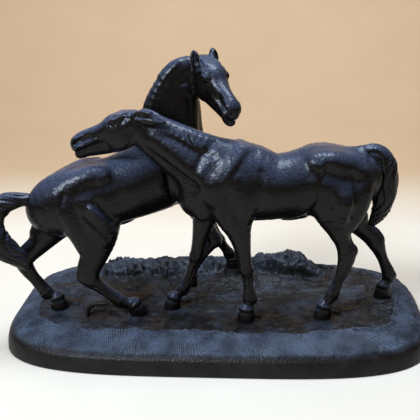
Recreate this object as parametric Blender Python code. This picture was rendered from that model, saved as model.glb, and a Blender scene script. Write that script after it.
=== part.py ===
# Two cast-iron horses on one oval plinth, as separate castings with the dowels, pins,
# studs, washers and nuts that hold them together. Metres, +Z up.

import math

import bmesh
import bpy
from mathutils import Matrix, Vector

MM = 0.001

# Plinth: one hollow casting, open underneath.
PLINTH_LENGTH = 345.0
PLINTH_DEPTH = 180.0
PLINTH_CORNER_POWER = 3.8
PLINTH_CENTRE_X = 3.4
WALL = 5.0
CEILING_BOSS = 7.0
SECTORS = 48
# (inset from the outline, height) up the outside of the rim
RIM_PROFILE = [(0.0, 0.0), (0.6, 7.0), (2.0, 12.0), (5.5, 16.0), (12.0, 19.6), (20.0, 22.2), (29.0, 24.0)]
GROUND_Z = 23.6
# (x, y, height above the ground, radius along x, radius along y); a dip has a negative height
ROCKS = [
    (-84.0, 52.0, 9.0, 27.0, 17.0), (-38.0, 53.0, 11.0, 30.0, 19.0), (6.0, 46.0, 9.4, 36.0, 26.0),
    (2.0, 62.0, 11.5, 36.0, 14.0), (45.0, 52.0, 15.0, 26.0, 19.0), (72.0, 51.0, 18.0, 17.0, 17.0),
    (-60.0, -33.0, -2.4, 34.0, 24.0),
]
SEAT_RADIUS = 8.6

GAP = 0.3
TORSO_SIDES = 16
LIMB_SIDES = 10
NECK_SIDES = 14

# Fasteners
DOWEL_RADIUS = 1.6
DOWEL_LENGTH = 14.0
TAIL_DOWEL_RADIUS = 1.2
TAIL_DOWEL_LENGTH = 10.0
TENON_RADIUS = 6.2
TENON_LENGTH = 13.0
PIN_RADIUS = 1.25
STUD_RADIUS = 1.5
STUD_IN_HOOF = 6.5
WASHER_RADIUS = 3.6
WASHER_THICKNESS = 0.8
NUT_ACROSS_CORNERS = 6.4
NUT_THICKNESS = 2.4
STUD_END = 1.6
CORE_WALL = 4.5

# Head sections shared by both horses:
# (share of the length from poll to muzzle, rise, half width, half depth)
HEAD_SECTIONS = [
    (0.0, 0.4, 6.6, 9.5), (0.07, 0.6, 8.8, 13.6), (0.225, 0.4, 10.0, 15.2), (0.39, 0.0, 9.4, 14.0),
    (0.545, -0.4, 7.4, 12.2), (0.70, -0.6, 6.0, 10.6), (0.85, -0.8, 6.2, 10.2), (0.955, -0.8, 5.6, 8.4),
    (1.0, -0.8, 3.4, 5.4),
]

# Each horse stands in its own frame: x forward, y to its left, z up, millimetres.
# A station is (x, y, z, half width across the horse, half depth), and a joint is the
# number of the station where the separate casting begins. An ear's stations are given
# from the poll: along the head, to its left and up out of the forehead.
FRONT_HORSE = {
    "place": (50.0 + PLINTH_CENTRE_X, -23.0, 187.0),
    "torso": [
        (-70.0, 0, 127.0, 7, 11), (-67.0, 0, 129.0, 14, 20), (-59.0, 0, 133.0, 19.5, 24),
        (-46.0, 0, 132.5, 23, 26), (-31.0, 0, 133.0, 23.5, 27.5), (-12.0, 0, 130.0, 24, 25.5),
        (5.0, 0, 129.0, 24.5, 26), (20.0, 0, 132.0, 23, 30), (33.0, 0, 133.0, 21, 32.5),
        (46.0, 0, 130.0, 19, 29), (57.0, 0, 124.0, 15.5, 22), (64.0, 0, 119.0, 11, 14),
        (67.0, 0, 117.5, 6, 8),
    ],
    "neck": {"joint": 2, "stations": [
        (40.0, 0, 138.0, 16, 26), (54.0, -0.5, 147.5, 15, 24), (69.0, -1.5, 156.5, 12.5, 20.5),
        (86.0, -4.5, 168.0, 10, 16.5), (95.0, -6.0, 172.5, 9, 15.4), (103.0, -8.0, 175.8, 8.6, 14.5),
        (109.0, -9.5, 176.0, 8, 12),
    ]},
    "head": {"poll": (103.5, -9.0, 176.5), "muzzle": (156.0, -20.2, 162.0), "left": (0.22, 0.975, 0.0)},
    "ears": [
        [(4, 5.0, 9.5, 2.2, 2.8), (0, 7.0, 11.6, 3.0, 3.8), (-8, 8.6, 10.2, 3.2, 4.6),
         (-15, 9.6, 7.4, 2.4, 3.8), (-22, 10.2, 3.4, 0.8, 1.0)],
        [(4, -5.0, 9.5, 2.2, 2.8), (0, -6.4, 12.4, 2.8, 3.6), (-8, -6.6, 12.0, 2.8, 3.8),
         (-14, -6.0, 10.0, 2.0, 2.8), (-20, -5.4, 7.4, 0.8, 1.0)],
    ],
    "tail": {"joint": 1, "stations": [
        (-56.0, 0, 149.0, 4.5, 6), (-66.0, 0, 153.0, 5.2, 6), (-74.5, 0, 150.2, 7, 9.5),
        (-80.5, 0, 142.5, 7.6, 11), (-83.5, 0, 130.0, 7.6, 10.5), (-84.0, 0, 118.0, 7, 8.6),
        (-81.5, 0, 106.0, 5.6, 6.4), (-77.0, 0, 97.5, 3.4, 3.4), (-74.5, 0, 95.0, 1.3, 1.3),
    ]},
    "legs": {
        "left_foreleg": {"joint": 3, "planted": True, "stations": [
            (42, 11, 136, 8, 17), (36, 12.5, 113, 9, 14), (31.5, 14, 100, 7.6, 10), (29, 14.5, 89, 6.4, 7.3),
            (27.5, 15, 78, 5.2, 5.8), (25.6, 15.2, 67, 4.8, 5.2), (24.4, 15.5, 60, 3.7, 4.1),
            (24, 15.8, 52, 3.1, 3.8), (23, 16.2, 43, 3.8, 5.2), (24.6, 16.6, 37, 3.6, 4.2),
            (25.5, 17, 33.4, 5, 5.7), (26, 17, 24.3, 6.2, 7)]},
        "right_foreleg": {"joint": 3, "planted": True, "stations": [
            (46, -10.5, 136, 8, 17), (51, -11.5, 117, 9, 13.5), (55, -12, 104, 7.8, 10.5),
            (58.5, -12, 90, 6.4, 7.4), (61, -12, 79, 5.2, 5.8), (63.5, -12, 68, 4.8, 5.2),
            (66.5, -11.6, 59, 3.7, 4.2), (69.5, -11.2, 51, 3.1, 3.8), (75, -10.8, 40.5, 3.9, 5),
            (79.5, -10.4, 35.6, 3.6, 4.2), (82.5, -10, 33, 5, 5.7), (84.5, -10, 24.3, 6.2, 7)]},
        "left_hindleg": {"joint": 3, "planted": True, "stations": [
            (-46, 10.5, 132, 11.5, 20), (-42.5, 12.5, 116, 10.5, 18), (-45, 14, 104, 8.8, 13.2),
            (-46.8, 15, 94, 6.8, 8.3), (-49.5, 15.6, 86, 5.3, 6.2), (-52.8, 16, 76, 4.7, 7.2),
            (-50.5, 16.5, 65, 4.1, 5.4), (-47, 17, 56, 3.3, 4.2), (-42, 17.6, 44, 3.9, 5),
            (-38, 18, 37.4, 3.6, 4.2), (-36, 18, 33.6, 5, 5.8), (-34.5, 18, 24.3, 6.2, 7.2)]},
        "right_hindleg": {"joint": 3, "planted": True, "stations": [
            (-46, -10.5, 132, 11.5, 20), (-50, -12.5, 114, 10.5, 16.5), (-61, -13, 98, 8, 11.4),
            (-72, -13.5, 85.5, 5.9, 7.6), (-79.5, -14, 78.5, 4.9, 7.4), (-84.5, -14, 71, 4.6, 6.6),
            (-87.6, -14, 64, 3.9, 5), (-91, -14, 56, 3.3, 4.3), (-96, -14, 43.5, 4, 5.6),
            (-94, -14, 37.2, 3.6, 4.3), (-92.2, -14, 33.6, 5, 5.8), (-91.2, -14, 24.3, 6.2, 7.2)]},
    },
}

REAR_HORSE = {
    "place": (-45.0 + PLINTH_CENTRE_X, -1.5, 21.5),
    "torso": [
        (-96.0, 0, 112, 7, 10), (-92.0, 0, 113, 14, 17.5), (-81.0, 0, 115, 20.5, 24.5),
        (-65.0, 0, 119, 23.5, 26.5), (-50.0, 0, 121.5, 24, 26.5), (-34.0, 0, 123.5, 24, 27),
        (-17.0, 0, 127.5, 23.5, 28.5), (-2.0, 0, 131.5, 22.5, 29.5), (14.0, 0, 134, 20.5, 28.5),
        (27.0, 0, 134, 17.5, 25), (38.0, 0, 132, 13.5, 18), (44.0, 0, 130.5, 8, 10),
    ],
    "neck": {"joint": 2, "stations": [
        (12.0, 0, 140, 16, 26), (12.5, -0.3, 153, 14.5, 26), (12.0, -1, 168, 12.6, 25),
        (13.0, -2, 186.5, 10.6, 23), (17.0, -2.8, 202.5, 9.2, 17.5), (25.0, -3.6, 209.5, 8.4, 12.5),
        (32.0, -4.2, 210.5, 8, 10),
    ]},
    "head": {"poll": (36.9, -4.1, 212.8), "muzzle": (49.6, -54.4, 184.5), "left": (0.971, 0.237, 0.013)},
    "ears": [
        [(4.0, 6.5, 8.0, 2.6, 2.6), (1.5, 7.4, 11.0, 3.2, 2.9), (-1.5, 7.8, 13.6, 2.6, 2.4),
         (-4.0, 7.8, 15.6, 1.0, 1.0)],
        [(4.0, -6.5, 8.0, 2.6, 2.6), (1.5, -7.4, 11.0, 3.2, 2.9), (-1.5, -7.8, 13.6, 2.6, 2.4),
         (-4.0, -7.8, 15.6, 1.0, 1.0)],
    ],
    "tail": {"joint": 1, "stations": [
        (-88.0, 0, 118.5, 4.6, 5.4), (-98.5, 0, 121.8, 4.6, 4.6), (-109, -0.6, 124, 5, 5.4),
        (-121, -2, 123, 6, 7.8), (-131, -3.5, 116.5, 6.8, 10), (-135, -5, 106, 7, 11.4),
        (-131, -6, 95, 6.6, 11), (-122, -7, 85, 5.4, 9), (-112, -7.6, 75.5, 4.2, 6.4),
        (-105, -8, 68, 2.6, 3.6), (-101.5, -8, 63.5, 1.2, 1.4),
    ]},
    "legs": {
        "left_foreleg": {"joint": 3, "planted": True, "stations": [
            (32, 10, 132, 8, 16), (34, 11.5, 112, 8, 12), (38, 12, 98, 6.8, 8.8), (43.5, 12.6, 85, 5.6, 6.6),
            (49, 13, 72, 4.8, 5.4), (54.5, 13, 62.5, 4.2, 4.7), (59.5, 13.2, 54.5, 3.4, 4),
            (63.5, 13.5, 48.5, 3.9, 4.8), (66, 14, 45, 3.7, 4.4), (67, 14.5, 42.2, 4.8, 5.4),
            (67.5, 15, 34.3, 5.8, 6.4)]},
        "right_foreleg": {"joint": 3, "planted": False, "stations": [
            (29, -10, 132, 8, 16), (27, -11.5, 113, 8.4, 12.5), (31, -12.5, 99.5, 6.9, 9),
            (35.5, -13, 88.5, 5.6, 6.6), (40, -13.6, 78, 4.9, 5.8), (42.6, -14, 72.6, 4.6, 4.8)],
            "folded": [(44.0, -14, 76.0, 4.6, 4.2), (39.5, -14, 71.0, 4.2, 4.6), (31.5, -14, 62.0, 3.2, 3.7),
                       (23.5, -14, 53.5, 3.9, 4.8), (21.4, -14, 48, 3.6, 4.1), (20.8, -14, 45, 4.8, 5.4),
                       (19.4, -14, 37, 5.8, 6.4)]},
        "left_hindleg": {"joint": 3, "planted": True, "stations": [
            (-66, 10, 120, 11.5, 19), (-76, 11, 105, 10.5, 17), (-88, 11.4, 91.5, 8.4, 12.4),
            (-99, 11.6, 80.5, 6.2, 9), (-108, 11.6, 72.8, 5, 7.8), (-111.2, 11.2, 66.8, 4.7, 7.0),
            (-108.8, 10.6, 59.5, 4.1, 5.8), (-104.2, 10, 51.5, 3.4, 4.8), (-96.5, 9, 39.6, 4.1, 5.6),
            (-91.5, 8.2, 35.4, 3.7, 4.5), (-88.6, 7.6, 33.4, 5.1, 6), (-87, 7, 24.3, 6.3, 7.3)]},
        "right_hindleg": {"joint": 3, "planted": True, "stations": [
            (-62, -10, 120, 12, 21), (-56, -12.5, 104, 11.5, 21), (-55.5, -15, 90.5, 9.6, 17),
            (-58.5, -17, 76.5, 6.9, 11.4), (-63, -18.2, 66.5, 5.2, 9), (-64, -18.6, 59.5, 4.8, 8.2),
            (-58.8, -19, 52.5, 4.1, 5.6), (-51.5, -19.8, 45.8, 3.5, 4.7), (-41.5, -21, 36.2, 4.1, 5.2),
            (-35.2, -21.6, 33, 3.8, 4.4), (-30.4, -22, 31.4, 5.1, 6), (-26.5, -22, 22.6, 6.3, 7.3)]},
    },
}

# The cast root under the rear horse's right hind cannon, in plinth coordinates.
PROP = [(-102.5, -37.5, 20.8, 1.5, 1.5), (-102.5, -37.5, 25.0, 1.5, 1.5), (-101.2, -37.8, 29.5, 1.7, 1.7),
        (-96.5, -38.3, 33.4, 1.7, 1.7), (-89.0, -38.8, 34.6, 1.6, 1.6), (-85.0, -39.0, 34.2, 1.3, 1.3)]


# ---------------------------------------------------------------- meshes

def new_mesh(name, bm):
    bmesh.ops.recalc_face_normals(bm, faces=bm.faces)
    mesh = bpy.data.meshes.new(name)
    bm.to_mesh(mesh)
    bm.free()
    return mesh


def spline(stations, steps):
    """A smooth curve through the stations, steps rings to each span."""
    out = []
    last = len(stations) - 1
    for i in range(last):
        a = stations[max(i - 1, 0)]
        b = stations[i]
        c = stations[i + 1]
        d = stations[min(i + 2, last)]
        for k in range(steps):
            t = k / steps
            out.append(tuple(
                0.5 * (2 * q + (r - p) * t + (2 * p - 5 * q + 4 * r - s) * t * t
                       + (3 * q - p - 3 * r + s) * t ** 3)
                for p, q, r, s in zip(a, b, c, d)))
    out.append(tuple(stations[last]))
    return out


def ring_frames(rings, side):
    """Centre, across and upward directions of each ring of a limb."""
    frames = []
    for i, ring in enumerate(rings):
        before = Vector(rings[max(i - 1, 0)][:3])
        after = Vector(rings[min(i + 1, len(rings) - 1)][:3])
        along = (after - before).normalized()
        across = (side - along * side.dot(along)).normalized()
        frames.append((Vector(ring[:3]), across, along.cross(across), along, ring[3], ring[4]))
    return frames


def level_last_ring(frames, level):
    """Turn the last ring level, for a hoof's flat sole."""
    centre, across, _, _, width, depth = frames[-1]
    across = Vector((across.x, across.y, 0.0)).normalized()
    frames[-1] = (Vector((centre.x, centre.y, level)), across, Vector((0, 0, -1)).cross(across),
                  Vector((0, 0, -1)), width, depth)
    return frames


def tube(name, frames, sides):
    """A closed skin over elliptical rings with flat ends."""
    bm = bmesh.new()
    loops = []
    for centre, across, upward, _, width, depth in frames:
        loop = []
        for k in range(sides):
            angle = 2 * math.pi * (k + 0.5) / sides
            point = centre + across * (width * math.cos(angle)) + upward * (depth * math.sin(angle))
            loop.append(bm.verts.new(point * MM))
        loops.append(loop)
    for a, b in zip(loops, loops[1:]):
        for k in range(sides):
            n = (k + 1) % sides
            bm.faces.new((a[k], a[n], b[n], b[k]))
    bm.faces.new(list(reversed(loops[0])))
    bm.faces.new(loops[-1])
    return new_mesh(name, bm)


def rod(name, start, end, radius, sides=12):
    """A straight round bar between two points, in millimetres."""
    start = Vector(start)
    end = Vector(end)
    bm = bmesh.new()
    bmesh.ops.create_cone(bm, cap_ends=True, segments=sides, radius1=radius * MM, radius2=radius * MM,
                          depth=(end - start).length * MM)
    turn = Vector((0, 0, 1)).rotation_difference((end - start).normalized()).to_matrix().to_4x4()
    bmesh.ops.transform(bm, matrix=Matrix.Translation((start + end) * 0.5 * MM) @ turn, verts=bm.verts)
    return new_mesh(name, bm)


def ring_plate(name, centre, radius, hole, thickness, sides):
    """A washer, or a nut when it has six sides: a plate with a round hole, lying flat."""
    bm = bmesh.new()
    steps = 12 if sides == 6 else sides
    columns = []
    for k in range(steps):
        angle = 2 * math.pi * k / steps
        turn = angle % (2 * math.pi / sides) - math.pi / sides
        reach = radius * math.cos(math.pi / sides) / math.cos(turn) if sides == 6 else radius
        column = []
        for r, z in ((reach, 0), (reach, thickness), (hole, thickness), (hole, 0)):
            corner = Vector(centre) + Vector((r * math.cos(angle), r * math.sin(angle), z))
            column.append(bm.verts.new(corner * MM))
        columns.append(column)
    for k in range(steps):
        a = columns[k]
        b = columns[(k + 1) % steps]
        for i in range(4):
            j = (i + 1) % 4
            bm.faces.new((a[i], b[i], b[j], a[j]))
    return new_mesh(name, bm)


def combine(base, other, operation):
    """Boolean of two meshes; gives the new mesh."""
    a = bpy.data.objects.new("combine_a", base)
    b = bpy.data.objects.new("combine_b", other)
    for obj in (a, b):
        bpy.context.scene.collection.objects.link(obj)
    modifier = a.modifiers.new("combine", 'BOOLEAN')
    modifier.operation = operation
    modifier.solver = 'EXACT'
    modifier.object = b
    graph = bpy.context.evaluated_depsgraph_get()
    result = bpy.data.meshes.new_from_object(a.evaluated_get(graph))
    for obj in (a, b):
        bpy.data.objects.remove(obj)
    for mesh in (base, other):
        bpy.data.meshes.remove(mesh)
    return result


def tidy(mesh):
    """Weld slivers left along a Boolean cut and triangulate."""
    bm = bmesh.new()
    bm.from_mesh(mesh)
    bmesh.ops.remove_doubles(bm, verts=bm.verts, dist=2e-6)
    bmesh.ops.dissolve_degenerate(bm, dist=2e-6, edges=bm.edges)
    bmesh.ops.triangulate(bm, faces=bm.faces)
    bm.to_mesh(mesh)
    bm.free()
    return mesh


# ---------------------------------------------------------------- materials and objects

def material(name, colour, roughness, metallic):
    made = bpy.data.materials.new(name)
    made.use_nodes = True
    shader = made.node_tree.nodes["Principled BSDF"]
    shader.inputs["Base Color"].default_value = (*colour, 1.0)
    shader.inputs["Roughness"].default_value = roughness
    shader.inputs["Metallic"].default_value = metallic
    return made


def place(name, mesh, finish, parent=None, smooth=True):
    mesh.name = name
    mesh.materials.clear()
    mesh.materials.append(finish)
    if smooth:
        mesh.shade_smooth()
        mesh.set_sharp_from_angle(angle=math.radians(40))
    obj = bpy.data.objects.new(name, mesh)
    bpy.context.scene.collection.objects.link(obj)
    obj.parent = parent
    return obj


# ---------------------------------------------------------------- one horse

def split_limb(limb, side, steps=3):
    """Rings of the stub that stays on the body, and of the separate casting beyond the joint."""
    frames = ring_frames(spline(limb["stations"], steps), side)
    if limb.get("planted"):
        frames = level_last_ring(frames, limb["stations"][-1][2])
    cut = limb["joint"] * steps
    centre, across, upward, along, width, depth = frames[cut]
    first = (centre + along * GAP, across, upward, along, width, depth)
    return frames[:cut + 1], [first] + frames[cut + 1:], centre, along


def dowel_joint(body, piece, centre, along, radius, length):
    """Blind bores on both sides of a joint; gives both meshes and the dowel."""
    half = length / 2
    bore = radius + GAP
    inner = centre - along * (half + GAP)
    outer = centre + along * (half + 2 * GAP)
    middle = centre + along * (GAP / 2)
    dowel = rod("dowel", middle - along * half, middle + along * half, radius)
    body = combine(body, rod("bore", inner, outer, bore), 'DIFFERENCE')
    piece = combine(piece, rod("bore", inner, outer, bore), 'DIFFERENCE')
    return body, piece, dowel


def head_frames(head):
    """Rings of a head between poll and muzzle, and its forward, left and upward directions."""
    poll = Vector(head["poll"])
    length = (Vector(head["muzzle"]) - poll).length
    forward = (Vector(head["muzzle"]) - poll).normalized()
    left = Vector(head["left"])
    left = (left - forward * left.dot(forward)).normalized()
    upward = forward.cross(left)
    stations = []
    for share, rise, w, d in HEAD_SECTIONS:
        stations.append((*(poll + forward * (share * length) + upward * rise), w, d))
    return ring_frames(spline(stations, 2), left), (poll, forward, left, upward)


def build_horse(name, horse, iron, steel):
    frame = bpy.data.objects.new(name + "_frame", None)
    bpy.context.scene.collection.objects.link(frame)
    x, y, turn = horse["place"]
    frame.location = Vector((x, y, 0)) * MM
    frame.rotation_euler = (0, 0, math.radians(turn))
    side = Vector((0, 1, 0))

    body = tube("body", ring_frames(horse["torso"], side), TORSO_SIDES)
    dowels = []
    feet = []
    legs = {}
    for leg_name, leg in horse["legs"].items():
        stub, lower, centre, along = split_limb(leg, side, 1)
        body = combine(body, tube("stub", stub, LIMB_SIDES), 'UNION')
        piece = tube("leg", lower, LIMB_SIDES)
        if "folded" in leg:
            folded = tube("folded", ring_frames(leg["folded"], side), LIMB_SIDES)
            piece = combine(piece, folded, 'UNION')
        legs[leg_name] = (piece, centre, along)
        if leg["planted"]:
            feet.append((leg_name, leg["stations"][-1]))

    tail_stub, tail_rings, tail_centre, tail_along = split_limb(horse["tail"], side, 2)
    body = combine(body, tube("dock", tail_stub, LIMB_SIDES), 'UNION')
    neck_stub, neck_rings, neck_centre, neck_along = split_limb(horse["neck"], side, 2)
    body = combine(body, tube("neck_stub", neck_stub, NECK_SIDES), 'UNION')

    # The core: the torso is hollow, and its mouth is the neck socket.
    core = [(cx, cy, cz, w - CORE_WALL, d - CORE_WALL) for cx, cy, cz, w, d in horse["torso"][3:-3]]
    body = combine(body, tube("core", ring_frames(core, side), 12), 'DIFFERENCE')
    core_centre = Vector(core[-2][:3])
    mouth = rod("mouth", core_centre, neck_centre - neck_along * (TENON_LENGTH - 2), TENON_RADIUS - 1.2)
    body = combine(body, mouth, 'DIFFERENCE')
    socket = rod("socket", neck_centre - neck_along * (TENON_LENGTH + 2 * GAP), neck_centre + neck_along * 3,
                 TENON_RADIUS + GAP, 20)
    body = combine(body, socket, 'DIFFERENCE')

    neck = tube("neck", neck_rings, NECK_SIDES)
    rings, (poll, forward, left, upward) = head_frames(horse["head"])
    neck = combine(neck, tube("head", rings, 14), 'UNION')
    for ear in horse["ears"]:
        stations = [(*(poll + forward * u + left * v + upward * n), w, d) for u, v, n, w, d in ear]
        neck = combine(neck, tube("ear", ring_frames(stations, left), 8), 'UNION')
    tenon_end = neck_centre - neck_along * TENON_LENGTH
    tenon = rod("tenon", tenon_end, neck_centre + neck_along * 4, TENON_RADIUS, 20)
    neck = combine(neck, tenon, 'UNION')

    # The cross pin goes in from the horse's right side and ends inside the tenon.
    pin_centre = neck_centre - neck_along * (TENON_LENGTH / 2)
    wall_half_width = horse["neck"]["stations"][horse["neck"]["joint"]][3]
    pin_outer = pin_centre - side * (wall_half_width - 0.6)
    pin_inner = pin_centre + side * 2.5
    bore_ends = (pin_outer - side * 8, pin_inner + side * GAP)
    body = combine(body, rod("pin_bore", *bore_ends, PIN_RADIUS + GAP), 'DIFFERENCE')
    neck = combine(neck, rod("pin_bore", *bore_ends, PIN_RADIUS + GAP), 'DIFFERENCE')
    place(name + "_neck_pin", rod("pin", pin_outer, pin_inner, PIN_RADIUS), steel, frame)

    tail = tube("tail", tail_rings, LIMB_SIDES)
    rump = [(cx - GAP * 2, cy, cz, w + GAP * 2, d + GAP * 2) for cx, cy, cz, w, d in horse["torso"]]
    tail = combine(tail, tube("rump", ring_frames(rump, side), TORSO_SIDES), 'DIFFERENCE')
    dock = rod("dock_face", tail_centre - tail_along * 12, tail_centre + tail_along * GAP, 12)
    tail = combine(tail, dock, 'DIFFERENCE')
    body, tail, dowel = dowel_joint(body, tail, tail_centre, tail_along, TAIL_DOWEL_RADIUS, TAIL_DOWEL_LENGTH)
    dowels.append(("tail", dowel))

    for leg_name, (piece, centre, along) in legs.items():
        body, piece, dowel = dowel_joint(body, piece, centre, along, DOWEL_RADIUS, DOWEL_LENGTH)
        dowels.append((leg_name, dowel))
        foot = dict(feet).get(leg_name)
        if foot:
            hole = rod("stud_bore", (foot[0], foot[1], foot[2] - 4),
                       (foot[0], foot[1], foot[2] + STUD_IN_HOOF + GAP), STUD_RADIUS + GAP)
            piece = combine(piece, hole, 'DIFFERENCE')
        place(name + "_" + leg_name, tidy(piece), iron, frame)

    place(name + "_body", tidy(body), iron, frame)
    place(name + "_head_neck", tidy(neck), iron, frame)
    place(name + "_tail", tidy(tail), iron, frame)
    for dowel_name, dowel in dowels:
        place(name + "_" + dowel_name + "_dowel", dowel, steel, frame)

    matrix = Matrix.Translation(frame.location / MM) @ Matrix.Rotation(math.radians(turn), 4, 'Z')
    return [(name + "_" + leg_name, matrix @ Vector(foot[:3])) for leg_name, foot in feet]


# ---------------------------------------------------------------- plinth

def outline(angle, inset):
    """A point of the plinth's oblong outline, moved inwards by inset."""
    a = PLINTH_LENGTH / 2 - inset
    b = PLINTH_DEPTH / 2 - inset
    c = math.cos(angle)
    s = math.sin(angle)
    reach = (abs(c) ** PLINTH_CORNER_POWER + abs(s) ** PLINTH_CORNER_POWER) ** (-1 / PLINTH_CORNER_POWER)
    return a * c * reach, b * s * reach


def sector_angle(k):
    return 2 * math.pi * k / SECTORS


def ground_height(x, y):
    rise = 0.0
    dip = 0.0
    for rock_x, rock_y, height, radius_x, radius_y in ROCKS:
        distance = ((x - rock_x) / radius_x) ** 2 + ((y - rock_y) / radius_y) ** 2
        share = height * max(0.0, 1 - distance * distance)
        rise = max(rise, share)
        dip = min(dip, share)
    return GROUND_Z + rise + dip


def build_plinth(feet, iron):
    bm = bmesh.new()
    last_inset = RIM_PROFILE[-1][0]
    inner_fractions = [0.92, 0.83, 0.73, 0.62, 0.5, 0.36, 0.2]
    outside = []
    for inset, z in RIM_PROFILE:
        outside.append([(*outline(sector_angle(k), inset), z) for k in range(SECTORS)])
    for fraction in inner_fractions:
        row = []
        for k in range(SECTORS):
            x, y = outline(sector_angle(k), last_inset)
            row.append((x * fraction, y * fraction, ground_height(x * fraction, y * fraction)))
        outside.append(row)
    inside = []
    for inset, z in [(WALL, 0.0), (WALL + 1.5, 9.0), (WALL + 8.0, 13.5), (WALL + 20.0, 17.0)]:
        inside.append([(*outline(sector_angle(k), inset), z) for k in range(SECTORS)])
    for fraction in inner_fractions:
        row = []
        for k in range(SECTORS):
            x, y = outline(sector_angle(k), last_inset)
            x *= fraction
            y *= fraction
            row.append((x, y, ground_height(x, y) - WALL))
        inside.append(row)

    def rows(points):
        return [[bm.verts.new(Vector((x + PLINTH_CENTRE_X, y, z)) * MM) for x, y, z in row] for row in points]

    top = rows(outside)
    under = rows(inside)
    for skin in (top, under):
        for a, b in zip(skin, skin[1:]):
            for k in range(SECTORS):
                n = (k + 1) % SECTORS
                bm.faces.new((a[k], a[n], b[n], b[k]))
    for k in range(SECTORS):
        n = (k + 1) % SECTORS
        bm.faces.new((top[0][k], under[0][k], under[0][n], top[0][n]))
    for skin, drop in ((top, 0.0), (under, WALL)):
        centre = bm.verts.new(Vector((PLINTH_CENTRE_X, 0, ground_height(0, 0) - drop)) * MM)
        for k in range(SECTORS):
            bm.faces.new((skin[-1][k], skin[-1][(k + 1) % SECTORS], centre))
    bmesh.ops.triangulate(bm, faces=bm.faces)
    mesh = new_mesh("plinth", bm)
    for _, foot in feet:
        seat = foot.z - GAP
        boss = rod("boss", (foot.x, foot.y, seat - CEILING_BOSS), (foot.x, foot.y, seat), SEAT_RADIUS, 18)
        mesh = combine(mesh, boss, 'UNION')
    for _, foot in feet:
        low = Vector((foot.x, foot.y, foot.z - 14))
        hole = rod("stud_hole", low, low + Vector((0, 0, 18)), STUD_RADIUS + GAP)
        mesh = combine(mesh, hole, 'DIFFERENCE')
    prop_x, prop_y, prop_z, prop_radius, _ = PROP[0]
    prop_x += PLINTH_CENTRE_X
    socket_floor = Vector((prop_x, prop_y, prop_z - GAP))
    socket = rod("prop_socket", socket_floor, socket_floor + Vector((0, 0, 6)), prop_radius + GAP)
    mesh = combine(mesh, socket, 'DIFFERENCE')
    return place("plinth", tidy(mesh), iron)


def build_hoof_fasteners(feet, steel):
    for name, foot in feet:
        boss = foot.z - GAP - CEILING_BOSS
        washer_z = boss - GAP - WASHER_THICKNESS
        nut_z = washer_z - GAP - NUT_THICKNESS
        place(name + "_stud", rod("stud", (foot.x, foot.y, nut_z - STUD_END),
                                  (foot.x, foot.y, foot.z + STUD_IN_HOOF), STUD_RADIUS), steel)
        place(name + "_washer", ring_plate("washer", (foot.x, foot.y, washer_z), WASHER_RADIUS,
                                           STUD_RADIUS + GAP, WASHER_THICKNESS, 16), steel)
        place(name + "_nut", ring_plate("nut", (foot.x, foot.y, nut_z), NUT_ACROSS_CORNERS / 2,
                                        STUD_RADIUS + GAP, NUT_THICKNESS, 6), steel)


def build_prop(iron):
    stations = [(x + PLINTH_CENTRE_X, y, z, w, d) for x, y, z, w, d in PROP]
    mesh = tube("leg_prop", ring_frames(spline(stations, 3), Vector((0, 1, 0))), 10)
    return place("leg_prop", mesh, iron)


def main():
    for obj in list(bpy.data.objects):
        bpy.data.objects.remove(obj)
    iron = material("black_cast_iron", (0.012, 0.013, 0.017), 0.38, 0.55)
    base_iron = material("black_cast_iron_ground", (0.014, 0.014, 0.016), 0.5, 0.45)
    steel = material("turned_steel", (0.42, 0.42, 0.43), 0.35, 1.0)
    feet = build_horse("front_horse", FRONT_HORSE, iron, steel)
    feet += build_horse("rear_horse", REAR_HORSE, iron, steel)
    build_plinth(feet, base_iron)
    build_prop(base_iron)
    build_hoof_fasteners(feet, steel)


main()
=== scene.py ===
import math

import bmesh
import bpy
import numpy as np
import openvdb
from mathutils import Matrix, Vector


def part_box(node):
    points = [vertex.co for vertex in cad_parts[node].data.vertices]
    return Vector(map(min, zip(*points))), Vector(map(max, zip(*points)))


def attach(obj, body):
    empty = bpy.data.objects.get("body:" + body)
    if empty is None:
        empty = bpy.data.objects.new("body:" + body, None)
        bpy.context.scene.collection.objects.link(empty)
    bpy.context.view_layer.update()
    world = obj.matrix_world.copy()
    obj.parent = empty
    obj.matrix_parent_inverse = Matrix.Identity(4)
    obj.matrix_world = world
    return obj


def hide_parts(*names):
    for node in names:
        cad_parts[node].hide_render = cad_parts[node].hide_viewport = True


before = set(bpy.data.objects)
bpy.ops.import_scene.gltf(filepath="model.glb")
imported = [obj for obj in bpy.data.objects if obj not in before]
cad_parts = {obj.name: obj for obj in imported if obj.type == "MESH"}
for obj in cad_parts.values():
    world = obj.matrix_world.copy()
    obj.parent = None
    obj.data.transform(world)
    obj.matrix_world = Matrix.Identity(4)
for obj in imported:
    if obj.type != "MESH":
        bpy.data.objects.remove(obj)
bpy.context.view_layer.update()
mm = 0.001
plinthLow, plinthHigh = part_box("plinth")
# everything is placed in millimetres from the middle of the plinth
plinthMidX = (plinthLow[0] + plinthHigh[0]) / 2 / mm

# How fine the clay is, in millimetres per block. Heads need the small one for the eyelids.
detail = {"body": 0.8, "head": 0.5, "leg": 0.5, "tail": 0.5, "prop": 0.35}
seam = 0.03          # half the hairline between two castings
spare = 2.0          # length left on a casting before it is sawn off at its joint
faraway = 30.0       # distance written where there is no clay
latticeSize = 24     # random numbers along each side of the table that grain reads
upright = (0, 1, 0)  # the side direction of every limb that isn't turned


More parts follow.
